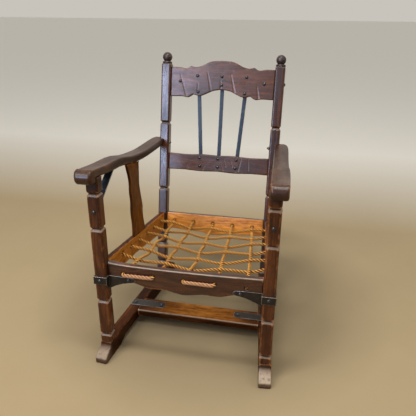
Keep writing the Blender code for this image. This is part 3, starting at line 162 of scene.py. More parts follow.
def shader_group(name, inputs, outputs):
    """An empty node group with named float inputs and outputs."""
    group = bpy.data.node_groups.new(name, "ShaderNodeTree")
    for title, value in inputs.items():
        socket = group.interface.new_socket(title, in_out="INPUT", socket_type="NodeSocketFloat")
        socket.default_value = value
    for title in outputs:
        group.interface.new_socket(title, in_out="OUTPUT", socket_type="NodeSocketFloat")
    return group, group.nodes.new("NodeGroupInput"), group.nodes.new("NodeGroupOutput")


def use_group(tree, group, values):
    """One use of a node group, with its own values."""
    return place(tree, "ShaderNodeGroup", {"node_tree": group}, values)


def painted(tree, name):
    """A value that the mesh carries on its points."""
    return place(tree, "ShaderNodeAttribute", {"attribute_name": name})


def fresh_material(name):
    """A new material, its node tree and its main shader."""
    material = bpy.data.materials.new(name)
    material.use_nodes = True
    return material, material.node_tree, material.node_tree.nodes["Principled BSDF"]


def bumped(tree, shader, height, strength, distance):
    """Gives a finish a fine relief."""
    bump = place(tree, "ShaderNodeBump", None, {"Strength": strength, "Distance": distance})
    tree.links.new(height, bump.inputs["Height"])
    tree.links.new(bump.outputs[0], shader.inputs["Normal"])


# %% [markdown]
# ## Effects that several finishes share
# Grain, rubbed edges, and settled dirt with painted shade turn up on more than one material, so each is one
# node group, used with its own values. They don't guess where an edge is: the meshes below carry it on their
# points, as the attributes grain_at (a place measured along and across the grain), wear, and one for hollows
# that also holds painted shade.

# %% Group: wood grain
GROWTH_SCALE = (2.6, 24.0, 24.0)
FIGURE_SCALE = (7.0, 58.0, 58.0)
PORE_SCALE = (40.0, 760.0, 760.0)
RING_PHASE = 64.0
FIGURE_SHARE = 0.65
RIDGE = 0.4
PORE_DIP = 0.35
grain_group, grain_in, grain_out = shader_group(
    "wood_grain", {"Fineness": 1.0}, ("Figure", "Pores", "Height"))
grain_place = painted(grain_group, "grain_at")
grain_scale = place(grain_group, "ShaderNodeVectorMath", {"operation": "SCALE"})
grain_group.links.new(grain_place.outputs["Vector"], grain_scale.inputs[0])
grain_group.links.new(grain_in.outputs["Fineness"], grain_scale.inputs["Scale"])
along = grain_scale.outputs[0]
growth = stretched_noise(grain_group, along, GROWTH_SCALE, 2.0, 0.45)
rings = sums(grain_group, "SINE", times(grain_group, growth, RING_PHASE), 0.0)
rings = spread(grain_group, rings, -1.0, 1.0)
figure = stretched_noise(grain_group, along, FIGURE_SCALE, 5.0, 0.62, 0.8)
figure = spread(grain_group, figure, 0.30, 0.70)
figure = times(grain_group, figure, FIGURE_SHARE)
figure = plus(grain_group, figure, times(grain_group, rings, 1.0 - FIGURE_SHARE))
pores = stretched_noise(grain_group, along, PORE_SCALE, 2.0, 0.5)
pores = spread(grain_group, pores, 0.54, 0.70)
ridge = times(grain_group, figure, RIDGE)
dip = times(grain_group, pores, PORE_DIP)
grain_group.links.new(figure, grain_out.inputs["Figure"])
grain_group.links.new(pores, grain_out.inputs["Pores"])
grain_group.links.new(sums(grain_group, "SUBTRACT", ridge, dip), grain_out.inputs["Height"])
print("group", grain_group.name)

# %% Group: rubbed edges
NICK_SCALE = (420.0, 420.0, 420.0)
PATCH_DEPTH = 1.6
NICK_DEPTH = 0.5
RUB_CONTRAST = 2.6
EDGE_REACH = 0.25
wear_group, wear_in, wear_out = shader_group(
    "rubbed_edges", {"Amount": 0.5, "Patch": 30.0}, ("Mask",))
wear_place = painted(wear_group, "grain_at")
wear_patch = place(wear_group, "ShaderNodeTexNoise", None, {"Detail": 5.0, "Roughness": 0.65})
wear_group.links.new(wear_place.outputs["Vector"], wear_patch.inputs["Vector"])
wear_group.links.new(wear_in.outputs["Patch"], wear_patch.inputs["Scale"])
broken = times(wear_group, sums(wear_group, "SUBTRACT", wear_patch.outputs[0], 0.5), PATCH_DEPTH)
nicks = stretched_noise(wear_group, wear_place.outputs["Vector"], NICK_SCALE, 2.0, 0.5)
nicks = times(wear_group, sums(wear_group, "SUBTRACT", nicks, 0.5), NICK_DEPTH)
edge = painted(wear_group, "wear").outputs["Fac"]
rubbed = plus(wear_group, edge, plus(wear_group, broken, nicks))
bare_at = sums(wear_group, "SUBTRACT", 1.0, wear_in.outputs["Amount"])
rubbed = times(wear_group, sums(wear_group, "SUBTRACT", rubbed, bare_at), RUB_CONTRAST, True)
reach = spread(wear_group, edge, 0.0, EDGE_REACH)
wear_group.links.new(times(wear_group, rubbed, reach), wear_out.inputs["Mask"])
print("group", wear_group.name)

# %% Group: settled dirt and painted shade
DIRT_AND_SHADE_SCALE = 70.0
DIRT_AND_SHADE_LEAST = 0.4
dirt_and_shade_group, dirt_and_shade_in, dirt_and_shade_out = shader_group("settled_dirt", {"Amount": 0.8}, ("Mask",))
dirt_and_shade_place = painted(dirt_and_shade_group, "grain_at")
dirt_and_shade_patch = place(dirt_and_shade_group, "ShaderNodeTexNoise", None, {"Scale": DIRT_AND_SHADE_SCALE, "Detail": 4.0})
dirt_and_shade_group.links.new(dirt_and_shade_place.outputs["Vector"], dirt_and_shade_patch.inputs["Vector"])
uneven = spread(dirt_and_shade_group, dirt_and_shade_patch.outputs[0], 0.3, 0.7, DIRT_AND_SHADE_LEAST, 1.0)
# This attribute holds dirt in hollows and the painted shade that the pieces' touches put on.
corner = painted(dirt_and_shade_group, "hollow").outputs["Fac"]
dirt_and_shade_mask = times(dirt_and_shade_group, corner, uneven)
dirt_and_shade_mask = times(dirt_and_shade_group, dirt_and_shade_mask, dirt_and_shade_in.outputs["Amount"], True)
dirt_and_shade_group.links.new(dirt_and_shade_mask, dirt_and_shade_out.inputs["Mask"])
print("group", dirt_and_shade_group.name)

# %% [markdown]
# ## Varnished wood
# The frame is an open-grained wood under a dark varnish that has gone reddish where it is thin, orange where
# hands and feet have rubbed it, and nearly black in the notches. The insides of the seat rails were left
# amber. Each board could have a material of its own, but it is all one wood. So one function makes five
# finishes, which differ in tone and gloss; amber, scuffs, painted highlights and painted shade show where the
# mesh asks for them.

# %% Material: varnished wood
SOOT_AND_SHADE = (0.0045, 0.0026, 0.0018, 1.0)
RUBBED = (0.30, 0.115, 0.036, 1.0)
SCUFF_AND_HIGHLIGHT_GREY = (0.40, 0.31, 0.225, 1.0)
AMBER_DARK = (0.36, 0.115, 0.013, 1.0)
AMBER_LIGHT = (0.80, 0.32, 0.043, 1.0)
CLOUD_SCALE = (5.0, 13.0, 13.0)
PATCH_SCALE = (45.0, 90.0, 90.0)
WEAR_PATCH = 30.0
DIRT_AND_SHADE_AMOUNT = 0.9
CLOUD_DEEP = 0.85
PORE_SOOT = 0.5
PORE_AMBER = 0.35
AMBER_FIGURE = 0.35
PATCH_HEIGHT = 0.9
GRAIN_HEIGHT = 0.0004


def varnished_wood(name, deep, warm, wear, matt, shine, relief=0.3):
    """Dark varnished wood: worn edges, dirt in its hollows, and amber, scuffs, painted highlights and painted
    shade where the mesh asks for them.
    """
    material, tree, shader = fresh_material(name)
    grain = use_group(tree, grain_group, {"Fineness": 1.0}).outputs
    rub = use_group(tree, wear_group, {"Amount": wear, "Patch": WEAR_PATCH}).outputs["Mask"]
    dirt = use_group(tree, dirt_and_shade_group, {"Amount": DIRT_AND_SHADE_AMOUNT}).outputs["Mask"]
    spot = painted(tree, "grain_at").outputs["Vector"]
    cloud = spread(tree, stretched_noise(tree, spot, CLOUD_SCALE, 4.0, 0.55), 0.36, 0.66)
    patchy = stretched_noise(tree, spot, PATCH_SCALE, 4.0, 0.65)
    stain = mixed(tree, grain["Figure"], deep, warm)
    stain = mixed(tree, times(tree, cloud, CLOUD_DEEP), stain, deep)
    stain = mixed(tree, times(tree, grain["Pores"], PORE_SOOT), stain, SOOT_AND_SHADE)
    mottle = times(tree, grain["Figure"], AMBER_FIGURE)
    mottle = plus(tree, mottle, times(tree, patchy, 1.0 - AMBER_FIGURE))
    amber = mixed(tree, spread(tree, mottle, 0.34, 0.66), AMBER_DARK, AMBER_LIGHT)
    amber = mixed(tree, times(tree, grain["Pores"], PORE_AMBER), amber, AMBER_DARK)
    stain = mixed(tree, painted(tree, "amber").outputs["Fac"], stain, amber)
    stain = mixed(tree, rub, stain, RUBBED)
    # Scuffs and painted highlights: pale grey where the mesh asks for it, broken up by patches.
    scuff_and_highlight = times(tree, painted(tree, "bare").outputs["Fac"], spread(tree, patchy, 0.17, 0.47))
    stain = mixed(tree, scuff_and_highlight, stain, SCUFF_AND_HIGHLIGHT_GREY)
    # Dirt in hollows and painted shade, both darkening the wood towards near black.
    stain = mixed(tree, dirt, stain, SOOT_AND_SHADE)
    tree.links.new(stain, shader.inputs["Base Color"])
    shader.inputs["Specular IOR Level"].default_value = shine
    gloss = matt
    for mask, rougher in ((cloud, 0.14), (patchy, 0.10), (rub, 0.10), (scuff_and_highlight, 0.25), (dirt, 0.25)):
        gloss = plus(tree, times(tree, mask, rougher), gloss, True)
    tree.links.new(gloss, shader.inputs["Roughness"])
    height = plus(tree, grain["Height"], times(tree, patchy, PATCH_HEIGHT))
    bumped(tree, shader, height, relief, GRAIN_HEIGHT)
    return material


dark_wood = varnished_wood("dark_varnish", (0.028, 0.0083, 0.0034, 1.0), (0.195, 0.064, 0.0195, 1.0),
                           wear=0.48, matt=0.18, shine=0.22)
post_wood = varnished_wood("cold_varnish", (0.019, 0.0058, 0.0030, 1.0), (0.125, 0.040, 0.0150, 1.0),
                           wear=0.48, matt=0.18, shine=0.5)
rail_wood = varnished_wood("rail_varnish", (0.018, 0.0048, 0.0016, 1.0), (0.130, 0.037, 0.0075, 1.0),
                           wear=0.48, matt=0.18, shine=0.04)
back_wood = varnished_wood("russet_varnish", (0.034, 0.0112, 0.0052, 1.0), (0.205, 0.072, 0.0275, 1.0),
                           wear=0.22, matt=0.22, shine=0.42)
arm_wood = varnished_wood("handled_varnish", (0.024, 0.0085, 0.0034, 1.0), (0.096, 0.035, 0.0120, 1.0),
                          wear=0.34, matt=0.24, shine=0.31, relief=0.10)
print("wood finishes:", [wood.name for wood in (dark_wood, post_wood, rail_wood, back_wood, arm_wood)])

# %% [markdown]
# ## Blackened iron
# Straps, bars, braces and nails were forged and blacked with oil. Such iron isn't a flat black: it is satin,
# a little brown where rust came through, and greyer on the edges. The bars and braces are bluer, and the
# nails are brighter, so one function makes three irons from their colours.

# %% Material: blackened iron
IRON_BLACK = (0.0155, 0.0118, 0.0085, 1.0)
IRON_NAIL = (0.040, 0.040, 0.042, 1.0)
IRON_GREY = (0.0105, 0.018, 0.028, 1.0)
IRON_PALE = (0.037, 0.057, 0.081, 1.0)
IRON_BROWN = (0.041, 0.029, 0.019, 1.0)
IRON_BARE = (0.175, 0.155, 0.130, 1.0)
IRON_PATCH = 70.0
RUST_SCALE = (55.0, 55.0, 55.0)
DENT_SCALE = (230.0, 230.0, 230.0)
IRON_METAL = 0.4
RUST_ROUGH = 0.25
DENT_RELIEF = 0.35
DENT_HEIGHT = 0.0006


def forged_iron(name, black, brown, wear, matt):
    """Oil-blacked iron with hammer marks, faint rust and grey edges."""
    material, tree, shader = fresh_material(name)
    rub = use_group(tree, wear_group, {"Amount": wear, "Patch": IRON_PATCH})
    spot = painted(tree, "grain_at").outputs["Vector"]
    rust = spread(tree, stretched_noise(tree, spot, RUST_SCALE, 6.0, 0.65), 0.52, 0.72)
    dents = stretched_noise(tree, spot, DENT_SCALE, 2.0, 0.5)
    skin = mixed(tree, rust, black, brown)
    skin = mixed(tree, rub.outputs["Mask"], skin, IRON_BARE)
    tree.links.new(skin, shader.inputs["Base Color"])
    shader.inputs["Metallic"].default_value = IRON_METAL
    tree.links.new(plus(tree, times(tree, rust, RUST_ROUGH), matt), shader.inputs["Roughness"])
    bumped(tree, shader, dents, DENT_RELIEF, DENT_HEIGHT)
    return material


iron = forged_iron("blackened_iron", IRON_BLACK, IRON_BROWN, wear=0.42, matt=0.34)
bar_iron = forged_iron("grey_iron", IRON_GREY, IRON_PALE, wear=0.30, matt=0.40)
nail_iron = forged_iron("nail_iron", IRON_NAIL, IRON_BROWN, wear=0.42, matt=0.20)
print("iron finishes:", iron.name, bar_iron.name, nail_iron.name)

# %% [markdown]
# ## Rope fibre
# The rope is laid from three strands of a hard golden fibre. The strands are real geometry further down, so
# this finish only adds what lies on a strand: fine yarn lines, painted shade in the grooves, and the duller,
# pinkish look of the runs outside the front rail, which are the ones that get rubbed.

# %% Material: rope
ROPE_GOLD = (1.0, 0.585, 0.16, 1.0)
ROPE_TAWNY = (0.92, 0.405, 0.06, 1.0)
ROPE_GROOVE_SHADE = (0.13, 0.04, 0.007, 1.0)
ROPE_DULL = (0.52, 0.295, 0.185, 1.0)
YARN_SCALE = (160.0, 9.0, 1.0)
TONE_SCALE = (22.0, 0.8, 3.0)
YARN_TAWNY = 0.45
RUBBED_DULL = 0.8
RUBBED_FLUFF = 0.55
YARN_RELIEF = 0.6
YARN_HEIGHT = 0.0004


def laid_rope(name):
    """Hard fibre rope; lay is a place along and round a strand, the grooves between strands carry painted
    shade, rubbed is its wear.
    """
    material, tree, shader = fresh_material(name)
    lay = painted(tree, "lay").outputs["Vector"]
    yarn = stretched_noise(tree, lay, YARN_SCALE, 3.0, 0.6)
    tone = stretched_noise(tree, lay, TONE_SCALE, 3.0, 0.5)
    fibre = mixed(tree, spread(tree, tone, 0.35, 0.68), ROPE_TAWNY, ROPE_GOLD)
    fibre = mixed(tree, spread(tree, yarn, 0.62, 0.40, 0.0, YARN_TAWNY), fibre, ROPE_TAWNY)
    rubbed = painted(tree, "rubbed").outputs["Fac"]
    fibre = mixed(tree, times(tree, rubbed, RUBBED_DULL), fibre, ROPE_DULL)
    clean = sums(tree, "SUBTRACT", 1.0, times(tree, rubbed, RUBBED_FLUFF))
    # Painted shade on each strand's inner side, in the grooves, fainter where the rope is rubbed.
    groove = times(tree, painted(tree, "groove").outputs["Fac"], clean)
    fibre = mixed(tree, groove, fibre, ROPE_GROOVE_SHADE)
    tree.links.new(fibre, shader.inputs["Base Color"])
    shader.inputs["Roughness"].default_value = 0.72
    shader.inputs["Specular IOR Level"].default_value = 0.2
    bumped(tree, shader, yarn, YARN_RELIEF, YARN_HEIGHT)
    return material


rope_fibre = laid_rope("rope_fibre")
print("rope finish:", rope_fibre.name)

# %% [markdown]
# ## From a CAD solid to a worn skin
# A CAD board has sharp edges and dead flat faces. Bevelling it would need clean edge loops, which a solid
# cut by many joints doesn't have. A voxel remesh doesn't mind: it wraps each solid in an even skin. A few
# rounds of smoothing round the edges over, and then each point is pushed in a little, so that the faces
# undulate as if cut by hand. No point leaves its piece's box. The same even skin tells where the edges are: a
# point that lies outside the average of its neighbours is on an edge, one that lies inside is in a hollow.

# %% Points, normals and neighbours
WELD_GAP = 0.00001
SMOOTH_SHARE = 0.5


def fine_skin(node, voxel, soften):
    """A dense copy of a CAD node's mesh with its edges a little rounded."""
    blank = bpy.data.objects.new(node + "_blank", nodes[node].data.copy())
    bpy.context.scene.collection.objects.link(blank)
    weld = blank.modifiers.new("weld", "WELD")
    weld.merge_threshold = WELD_GAP
    remesh = blank.modifiers.new("skin", "REMESH")
    remesh.mode = "VOXEL"
    remesh.voxel_size = voxel
    smooth = blank.modifiers.new("soften", "SMOOTH")
    smooth.factor = SMOOTH_SHARE
    smooth.iterations = soften
    graph = bpy.context.evaluated_depsgraph_get()
    mesh = bpy.data.meshes.new_from_object(blank.evaluated_get(graph))
    bpy.data.objects.remove(blank, do_unlink=True)
    return mesh


def points_of(mesh):
    """A mesh's points as rows of x, y and z."""
    flat = np.empty(len(mesh.vertices) * 3, np.float32)
    mesh.vertices.foreach_get("co", flat)
    return flat.reshape(-1, 3).astype(float)


def normals_of(mesh):
    """The way that each point of a mesh faces."""
    flat = np.empty(len(mesh.vertices) * 3, np.float32)
    mesh.vertex_normals.foreach_get("vector", flat)
    return flat.reshape(-1, 3).astype(float)


def relaxed(mesh, points, rounds):
    """The points after each has moved to the middle of its neighbours, a few times over."""
    flat = np.empty(len(mesh.edges) * 2, np.int32)
    mesh.edges.foreach_get("vertices", flat)
    pairs = flat.reshape(-1, 2)
    count = len(points)
    shared = np.maximum(np.bincount(flat, minlength=count), 1)
    for turn in range(rounds):
        total = np.zeros_like(points)
        for axis in range(3):
            total[:, axis] = np.bincount(pairs[:, 0], points[pairs[:, 1], axis], count)
            total[:, axis] += np.bincount(pairs[:, 1], points[pairs[:, 0], axis], count)
        points = total / shared[:, None]
    return points


def carry(mesh, name, values):
    """Stores a number or a vector on each point of a mesh."""
    values = np.asarray(values, np.float32)
    if values.ndim == 2:
        mesh.attributes.new(name, "FLOAT_VECTOR", "POINT").data.foreach_set("vector", values.ravel())
    else:
        mesh.attributes.new(name, "FLOAT", "POINT").data.foreach_set("value", values)


# %% Grain places and hand-cut faces
RAKE = math.radians(12.0)
UPRIGHT = Vector((0.0, 0.0, 1.0))
ACROSS = Vector((1.0, 0.0, 0.0))
BACKWARD = Vector((0.0, 1.0, 0.0))
RAKED = Vector((0.0, math.sin(RAKE), math.cos(RAKE)))
BACK_OUT = Vector((0.0, -math.cos(RAKE), math.sin(RAKE)))
FRONT_OUT = Vector((0.0, -1.0, 0.0))
EDGE_ROUNDS = 6
EDGE_VOXEL = 0.0024
PIECE_SHIFT = (0.37, 1.13, 0.71)
WAVE_SCALE = (11.0, 30.0, 30.0)
MARK_SCALE = (46.0, 85.0, 85.0)
MEAN_CUT = 0.5
WAVE_CUT = 0.32
MARK_CUT = 0.18
made = {}


def grain_places(points, grain, seed):
    """Places measured along the grain, across it and through it, moved so that no two pieces match."""
    first = grain.normalized()
    second = first.orthogonal().normalized()
    third = first.cross(second)
    turned = points @ np.array([first, second, third]).T
    return turned + np.array(PIECE_SHIFT) * seed


def hewn_depth(places, depth):
    """How far each point is cut in: long shallow waves and shorter tool marks."""
    cuts = []
    for wave_at, mark_at in zip(places * np.array(WAVE_SCALE), places * np.array(MARK_SCALE)):
        wave = noise.noise(Vector(wave_at))
        mark = noise.noise(Vector(mark_at))
        cuts.append(MEAN_CUT + WAVE_CUT * wave + MARK_CUT * mark)
    return depth * np.clip(cuts, 0.0, 1.0)


def dressed(node, suffix, mesh, material):
    """Makes the piece that stands for a CAD node and rides with it."""
    mesh.materials.clear()
    mesh.materials.append(material)
    mesh.polygons.foreach_set("use_smooth", np.ones(len(mesh.polygons), bool))
    mesh.update()
    piece = bpy.data.objects.new(node + suffix, mesh)
    bpy.context.scene.collection.objects.link(piece)
    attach(piece, "root")
    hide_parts(node)
    made[node] = len(mesh.polygons)
    return piece


def worked(node, suffix, material, grain, voxel, soften=3, depth=0.0007, edge_size=0.0016, touch=None):
    """One CAD node with a hand-worked skin; touch may add cuts, wear, amber, scuffs, painted highlights and
    painted shade of its own.
    """
    mesh = fine_skin(node, voxel, soften)
    points = points_of(mesh)
    normals = normals_of(mesh)
    places = grain_places(points, grain, len(made) + 1)
    rounds = min(round(EDGE_ROUNDS * (EDGE_VOXEL / voxel) ** 2), EDGE_ROUNDS * 3)
    swell = ((points - relaxed(mesh, points, rounds)) * normals).sum(axis=1)
    edges = np.clip(swell / edge_size, 0.0, 1.0)
    extra = touch(points, normals, edges) if touch else {}
    cut = hewn_depth(places, depth) + extra.get("cut", 0.0)
    low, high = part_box(node)
    shaped = np.clip(points - normals * cut[:, None], np.array(low), np.array(high))
    mesh.vertices.foreach_set("co", shaped.astype(np.float32).ravel())
    carry(mesh, "grain_at", places)
    carry(mesh, "wear", np.clip(edges + extra.get("wear", 0.0), 0.0, 1.0))
    # The hollows attribute holds dirt in concave places plus the painted shade that a touch adds.
    carry(mesh, "hollow", np.clip(-swell / edge_size + extra.get("dirt", 0.0), 0.0, 1.0))
    carry(mesh, "amber", np.zeros(len(points)) + extra.get("amber", 0.0))
    # Scuffs and painted highlights share one attribute.
    carry(mesh, "bare", np.zeros(len(points)) + extra.get("bare", 0.0))
    return dressed(node, suffix, mesh, material)


# %% [markdown]
# ## Arms, legs, posts and back rails
# The arms are broad boards with a rolled nose, rubbed by hands. They come first, because the legs' tops are
# then scribed to them: a point that looks up is raised until it meets the arm above. Legs and posts are heavy
# square stock with four V-notches, and their grain runs along the stick, which leans back for the posts.
# The back rails carry gouges. A boolean would need a cutter for each of them, so they are strokes instead:
# each is given by its two ends and pushes the points near it in.

# %% Marks that are put in by hand
FACING_FROM = 0.55
FACING_BLEND = 0.3
STROKE_TAPER = 0.55
STROKE_END = 0.45


def facing(normals, direction):
    """1 where a face looks along a direction, 0 where it looks away."""
    return np.clip((normals @ np.array(direction.normalized()) - FACING_FROM) / FACING_BLEND, 0.0, 1.0)


def hump(values, centre, reach):
    """1 at a centre, falling smoothly to nothing at a reach on both sides."""
    share = np.clip(1.0 - np.abs(values - centre) / reach, 0.0, 1.0)
    return share * share * (3.0 - 2.0 * share)


def strokes(across, up, marks):
    """Strokes on a face, each from one (across, up) end to the other with a half width: 1 on its line."""
    mask = np.zeros(len(across))
    for x_one, up_one, x_two, up_two, half_wide in marks:
        way = np.array((x_two - x_one, up_two - up_one))
        share = ((across - x_one) * way[0] + (up - up_one) * way[1]) / (way @ way)
        share = np.clip(share, 0.0, 1.0)
        off = np.hypot(across - x_one - share * way[0], up - up_one - share * way[1])
        wedge = half_wide * (1.0 - STROKE_TAPER * share)
        mask = np.maximum(mask, hump(off, 0.0, wedge) * (STROKE_END + STROKE_TAPER * (1.0 - share)))
    return mask


# %% Arms
SIDES = (("left", -1.0), ("right", 1.0))
ARM_VOXEL = 0.0021
ARM_DEPTH = 0.0002
ARM_FILL = 0.0017
HAND_Y = LEGS_FRONT + 0.045
HAND_REACH = 0.09
HAND_WEAR = {-1.0: 0.05, 1.0: 0.32}
ARM_SIDE_SHADE = 0.55
undersides = {}


def arm_touch(sign):
    """Polished where hands rest, with painted shade on its sides, and with tight upper edges."""
    def touch(points, normals, edges):
        rest = hump(points[:, 1], HAND_Y, HAND_REACH) * facing(normals, UPRIGHT + 0.4 * FRONT_OUT)
        side_face = np.clip(1.5 * np.abs(normals[:, 0]) - 0.4 - normals[:, 2], 0.0, 1.0)
        wear = HAND_WEAR[sign] * rest - 0.3 * edges * side_face
        shoulder = np.clip(2.0 * normals[:, 2] * np.abs(normals[:, 0]), 0.0, 1.0)
        return {"cut": -ARM_FILL * shoulder, "wear": wear, "dirt": ARM_SIDE_SHADE * side_face}
    return touch


for side, sign in SIDES:
    arm = worked("arm_" + side, "_wood", arm_wood, BACKWARD, ARM_VOXEL, 4, ARM_DEPTH,
                 touch=arm_touch(sign))
    corners = [vertex.co for vertex in arm.data.vertices]
    undersides[sign] = BVHTree.FromPolygons(corners, [face.vertices for face in arm.data.polygons])
print("arms:", made["arm_left"], "faces each")

# %% Legs and posts
STICK_VOXEL = 0.0019
STICK_DEPTH = 0.0006
LEG_WEAR = {-1.0: 0.05, 1.0: 0.38}
LEG_BEVEL_HIGHLIGHT = 0.45
POST_WEAR = -0.25
POST_BEVEL_HIGHLIGHT = 0.12
BEVEL_FROM = 0.22
BEVEL_BLEND = 0.25
SCRIBE_FACING = 0.6
SCRIBE_REACH = 0.010
SCRIBE_LEAN = 0.6
LEG_SHADE_Z = 0.615
LEG_SHADE_BLEND = 0.02


def risen(under, sign, points, normals):
    """How far each point that looks up lies below an arm's rounded underside."""
    way = (UPRIGHT + ACROSS * sign * SCRIBE_LEAN).normalized()
    rise = np.zeros(len(points))
    for k in np.flatnonzero(normals[:, 2] > SCRIBE_FACING):
        gap = under.ray_cast(Vector(points[k]), way, SCRIBE_REACH)[3]
        rise[k] = (gap or 0.0) * way.z
    return rise


def stick_touch(grain, worn, scuff_and_highlight, sign):
    """Rubbed edges, a painted highlight on the notches' upward bevels, and the top scribed to the arm, with
    painted shade on a leg's top under it.
    """
    def touch(points, normals, edges):
        bevel = np.clip((normals @ np.array(grain) - BEVEL_FROM) / BEVEL_BLEND, 0.0, 1.0)
        rise = np.zeros(len(points))
        shade = np.zeros(len(points))
        if grain == UPRIGHT:
            rise = risen(undersides[sign], sign, points, normals)
            shade = np.clip((points[:, 2] - LEG_SHADE_Z) / LEG_SHADE_BLEND, 0.0, 1.0)
        bevel = bevel * (1.0 - shade)
        wear = worn * edges - 0.5 * bevel - 1.5 * shade
        return {"cut": -rise, "wear": wear, "bare": scuff_and_highlight * bevel, "dirt": 0.8 * shade}
    return touch


for side, sign in SIDES:
    worked("front_leg_" + side, "_wood", dark_wood, UPRIGHT, STICK_VOXEL, 2, STICK_DEPTH,
           touch=stick_touch(UPRIGHT, LEG_WEAR[sign], LEG_BEVEL_HIGHLIGHT, sign))
    worked("rear_post_" + side, "_wood", post_wood, RAKED, STICK_VOXEL, 2, STICK_DEPTH,
           touch=stick_touch(RAKED, POST_WEAR, POST_BEVEL_HIGHLIGHT, sign))
print("sticks:", sum(made.values()), "faces")

# %% Crest rail and lower rail
BACK_Y = 0.465
CREST_BARE = 0.10
SCRATCH_BARE = 0.20
GOUGE_DEEP = 0.0008
BACK_VOXEL = 0.0015
CREST_GOUGES = ((-0.0426, 0.8396, -0.0590, 0.9093, 0.0070), (0.0523, 0.8344, 0.0362, 0.9007, 0.0075),
                (0.1485, 0.8149, 0.1405, 0.8581, 0.0060), (-0.0025, 0.8470, -0.0046, 0.8791, 0.0060),
                (-0.0960, 0.8375, -0.0966, 0.8641, 0.0060), (-0.1417, 0.8163, -0.1693, 0.9000, 0.0065))
RAIL_SCRATCHES = ((0.0860, 0.5260, 0.0971, 0.5779, 0.0045), (0.0621, 0.5414, 0.0520, 0.5664, 0.0042),
                  (0.0348, 0.5395, 0.0258, 0.5703, 0.0038), (0.0240, 0.5244, 0.0123, 0.5523, 0.0038),
                  (-0.0607, 0.5213, -0.0521, 0.5387, 0.0050), (-0.1229, 0.5169, -0.1255, 0.5429, 0.0036),
                  (0.1271, 0.5317, 0.1255, 0.5769, 0.0034), (-0.0098, 0.5191, -0.0121, 0.5299, 0.0036),
                  (0.0749, 0.5194, 0.0629, 0.5272, 0.0038))


def back_rail_touch(marks, bare):
    """Tool strokes on the front face, and painted shade on the faces that look down."""
    def touch(points, normals, edges):
        up = (points[:, 1] - LEGS_FRONT - BACK_Y) * math.sin(RAKE) + points[:, 2] * math.cos(RAKE)
        mask = strokes(points[:, 0], up, marks) * facing(normals, BACK_OUT)
        under = np.clip(-3.2 * normals @ np.array(RAKED) - 0.15, 0.0, 1.0)
        return {"cut": GOUGE_DEEP * mask, "bare": bare * mask, "wear": -0.4 * edges - under, "dirt": under}
    return touch


worked("crest_rail", "_wood", back_wood, ACROSS, BACK_VOXEL, 4,
       touch=back_rail_touch(CREST_GOUGES, CREST_BARE))
worked("lower_back_rail", "_wood", back_wood, ACROSS, BACK_VOXEL, 4,
       touch=back_rail_touch(RAIL_SCRATCHES, SCRATCH_BARE))
print("back rails:", made["crest_rail"], made["lower_back_rail"], "faces")

# %% [markdown]
# ## Where the rope goes through
# The rope's holes are worked out from the rails' own sizes, before the rails are dressed, because the rails
# are painted in shade round each hole.

# %% Seat measures
LEG = 0.040
SEAT_FRONT_Z = 0.366
SEAT_REAR_Z = 0.3245
FRONT_RAIL_SET = 0.0195
REAR_RAIL_SET = 0.007
REAR_RAIL_OUT = 0.031
POST_FOOT = 0.221
POST_TOP = 0.2255
POST_TALL = 0.9360
SIDE_RAIL_HALF = 0.010
SIDE_X = 0.267


def raked(x, into, rise):
    """A point of the leaning back: across, into the back and up its slope."""
    return Vector((x, BACK_Y + rise * math.sin(RAKE) + into * math.cos(RAKE),
                   rise * math.cos(RAKE) - into * math.sin(RAKE)))


rear_top = (SEAT_REAR_Z + REAR_RAIL_SET * math.sin(RAKE)) / math.cos(RAKE)
seat_rear_y = raked(0.0, REAR_RAIL_SET, rear_top).y
seat_slope = (SEAT_REAR_Z - SEAT_FRONT_Z) / (seat_rear_y - FRONT_RAIL_SET)
side_end = raked(POST_FOOT + (POST_TOP - POST_FOOT) * rear_top / POST_TALL, 0.0, rear_top)
side_turn = math.atan2(SIDE_X - side_end.x, side_end.y - LEG)
print("seat slopes", round(math.degrees(math.atan(seat_slope)), 2), "degrees")


def side_point(sign, out, y, z):
    """A point on a side rail, out from its middle line, at a depth y of that line."""
    turn = sign * side_turn
    far = (y - LEG) / math.cos(side_turn)
    x = sign * out
    return Vector((sign * SIDE_X + x * math.cos(turn) - far * math.sin(turn),
                   LEG + x * math.sin(turn) + far * math.cos(turn), z))


# %% Holes and crossings
COLUMNS = 5
ROPE_LOW = 0.0010
WEAVE = 0.0056
ROW_SAG = (0.0295, 0.0305, 0.0270, 0.0275, 0.0240, 0.0185)
COLUMN_BOW = (0.015, 0.001, 0.001, 0.0, 0.003)
FRONT_PITCH = 0.100
FRONT_DROP = 0.037
REAR_PITCH = 0.0825
REAR_SHIFT = -0.0055
REAR_DROP = 0.035
ROW_FIRST = 0.142
ROW_PITCH = 0.0697
ROW_DROP = 0.0245
front_x = [FRONT_PITCH * (j - 2) for j in range(COLUMNS)]
rear_x = [REAR_PITCH * (j - 2) + REAR_SHIFT for j in range(COLUMNS)]
row_y = [ROW_FIRST + ROW_PITCH * i for i in range(len(ROW_SAG))]
row_z = [SEAT_FRONT_Z + seat_slope * (y - FRONT_RAIL_SET) - ROW_DROP - ROPE_LOW for y in row_y]
front_z = SEAT_FRONT_Z - FRONT_DROP - ROPE_LOW
rear_rise = rear_top - REAR_DROP - ROPE_LOW
rear_mouth = [raked(x, REAR_RAIL_SET, rear_rise) for x in rear_x]
rear_face = [raked(x, REAR_RAIL_OUT, rear_rise) for x in rear_x]
front_mouth = [Vector((x, LEG, front_z)) for x in front_x]
front_face = [Vector((x, FRONT_RAIL_SET, front_z)) for x in front_x]
inner_x = [side_point(1.0, -SIDE_RAIL_HALF, y, 0.0).x for y in row_y]
REAR_OUT = -BACK_OUT
print("rope holes:", 2 * COLUMNS + 2 * len(row_y))

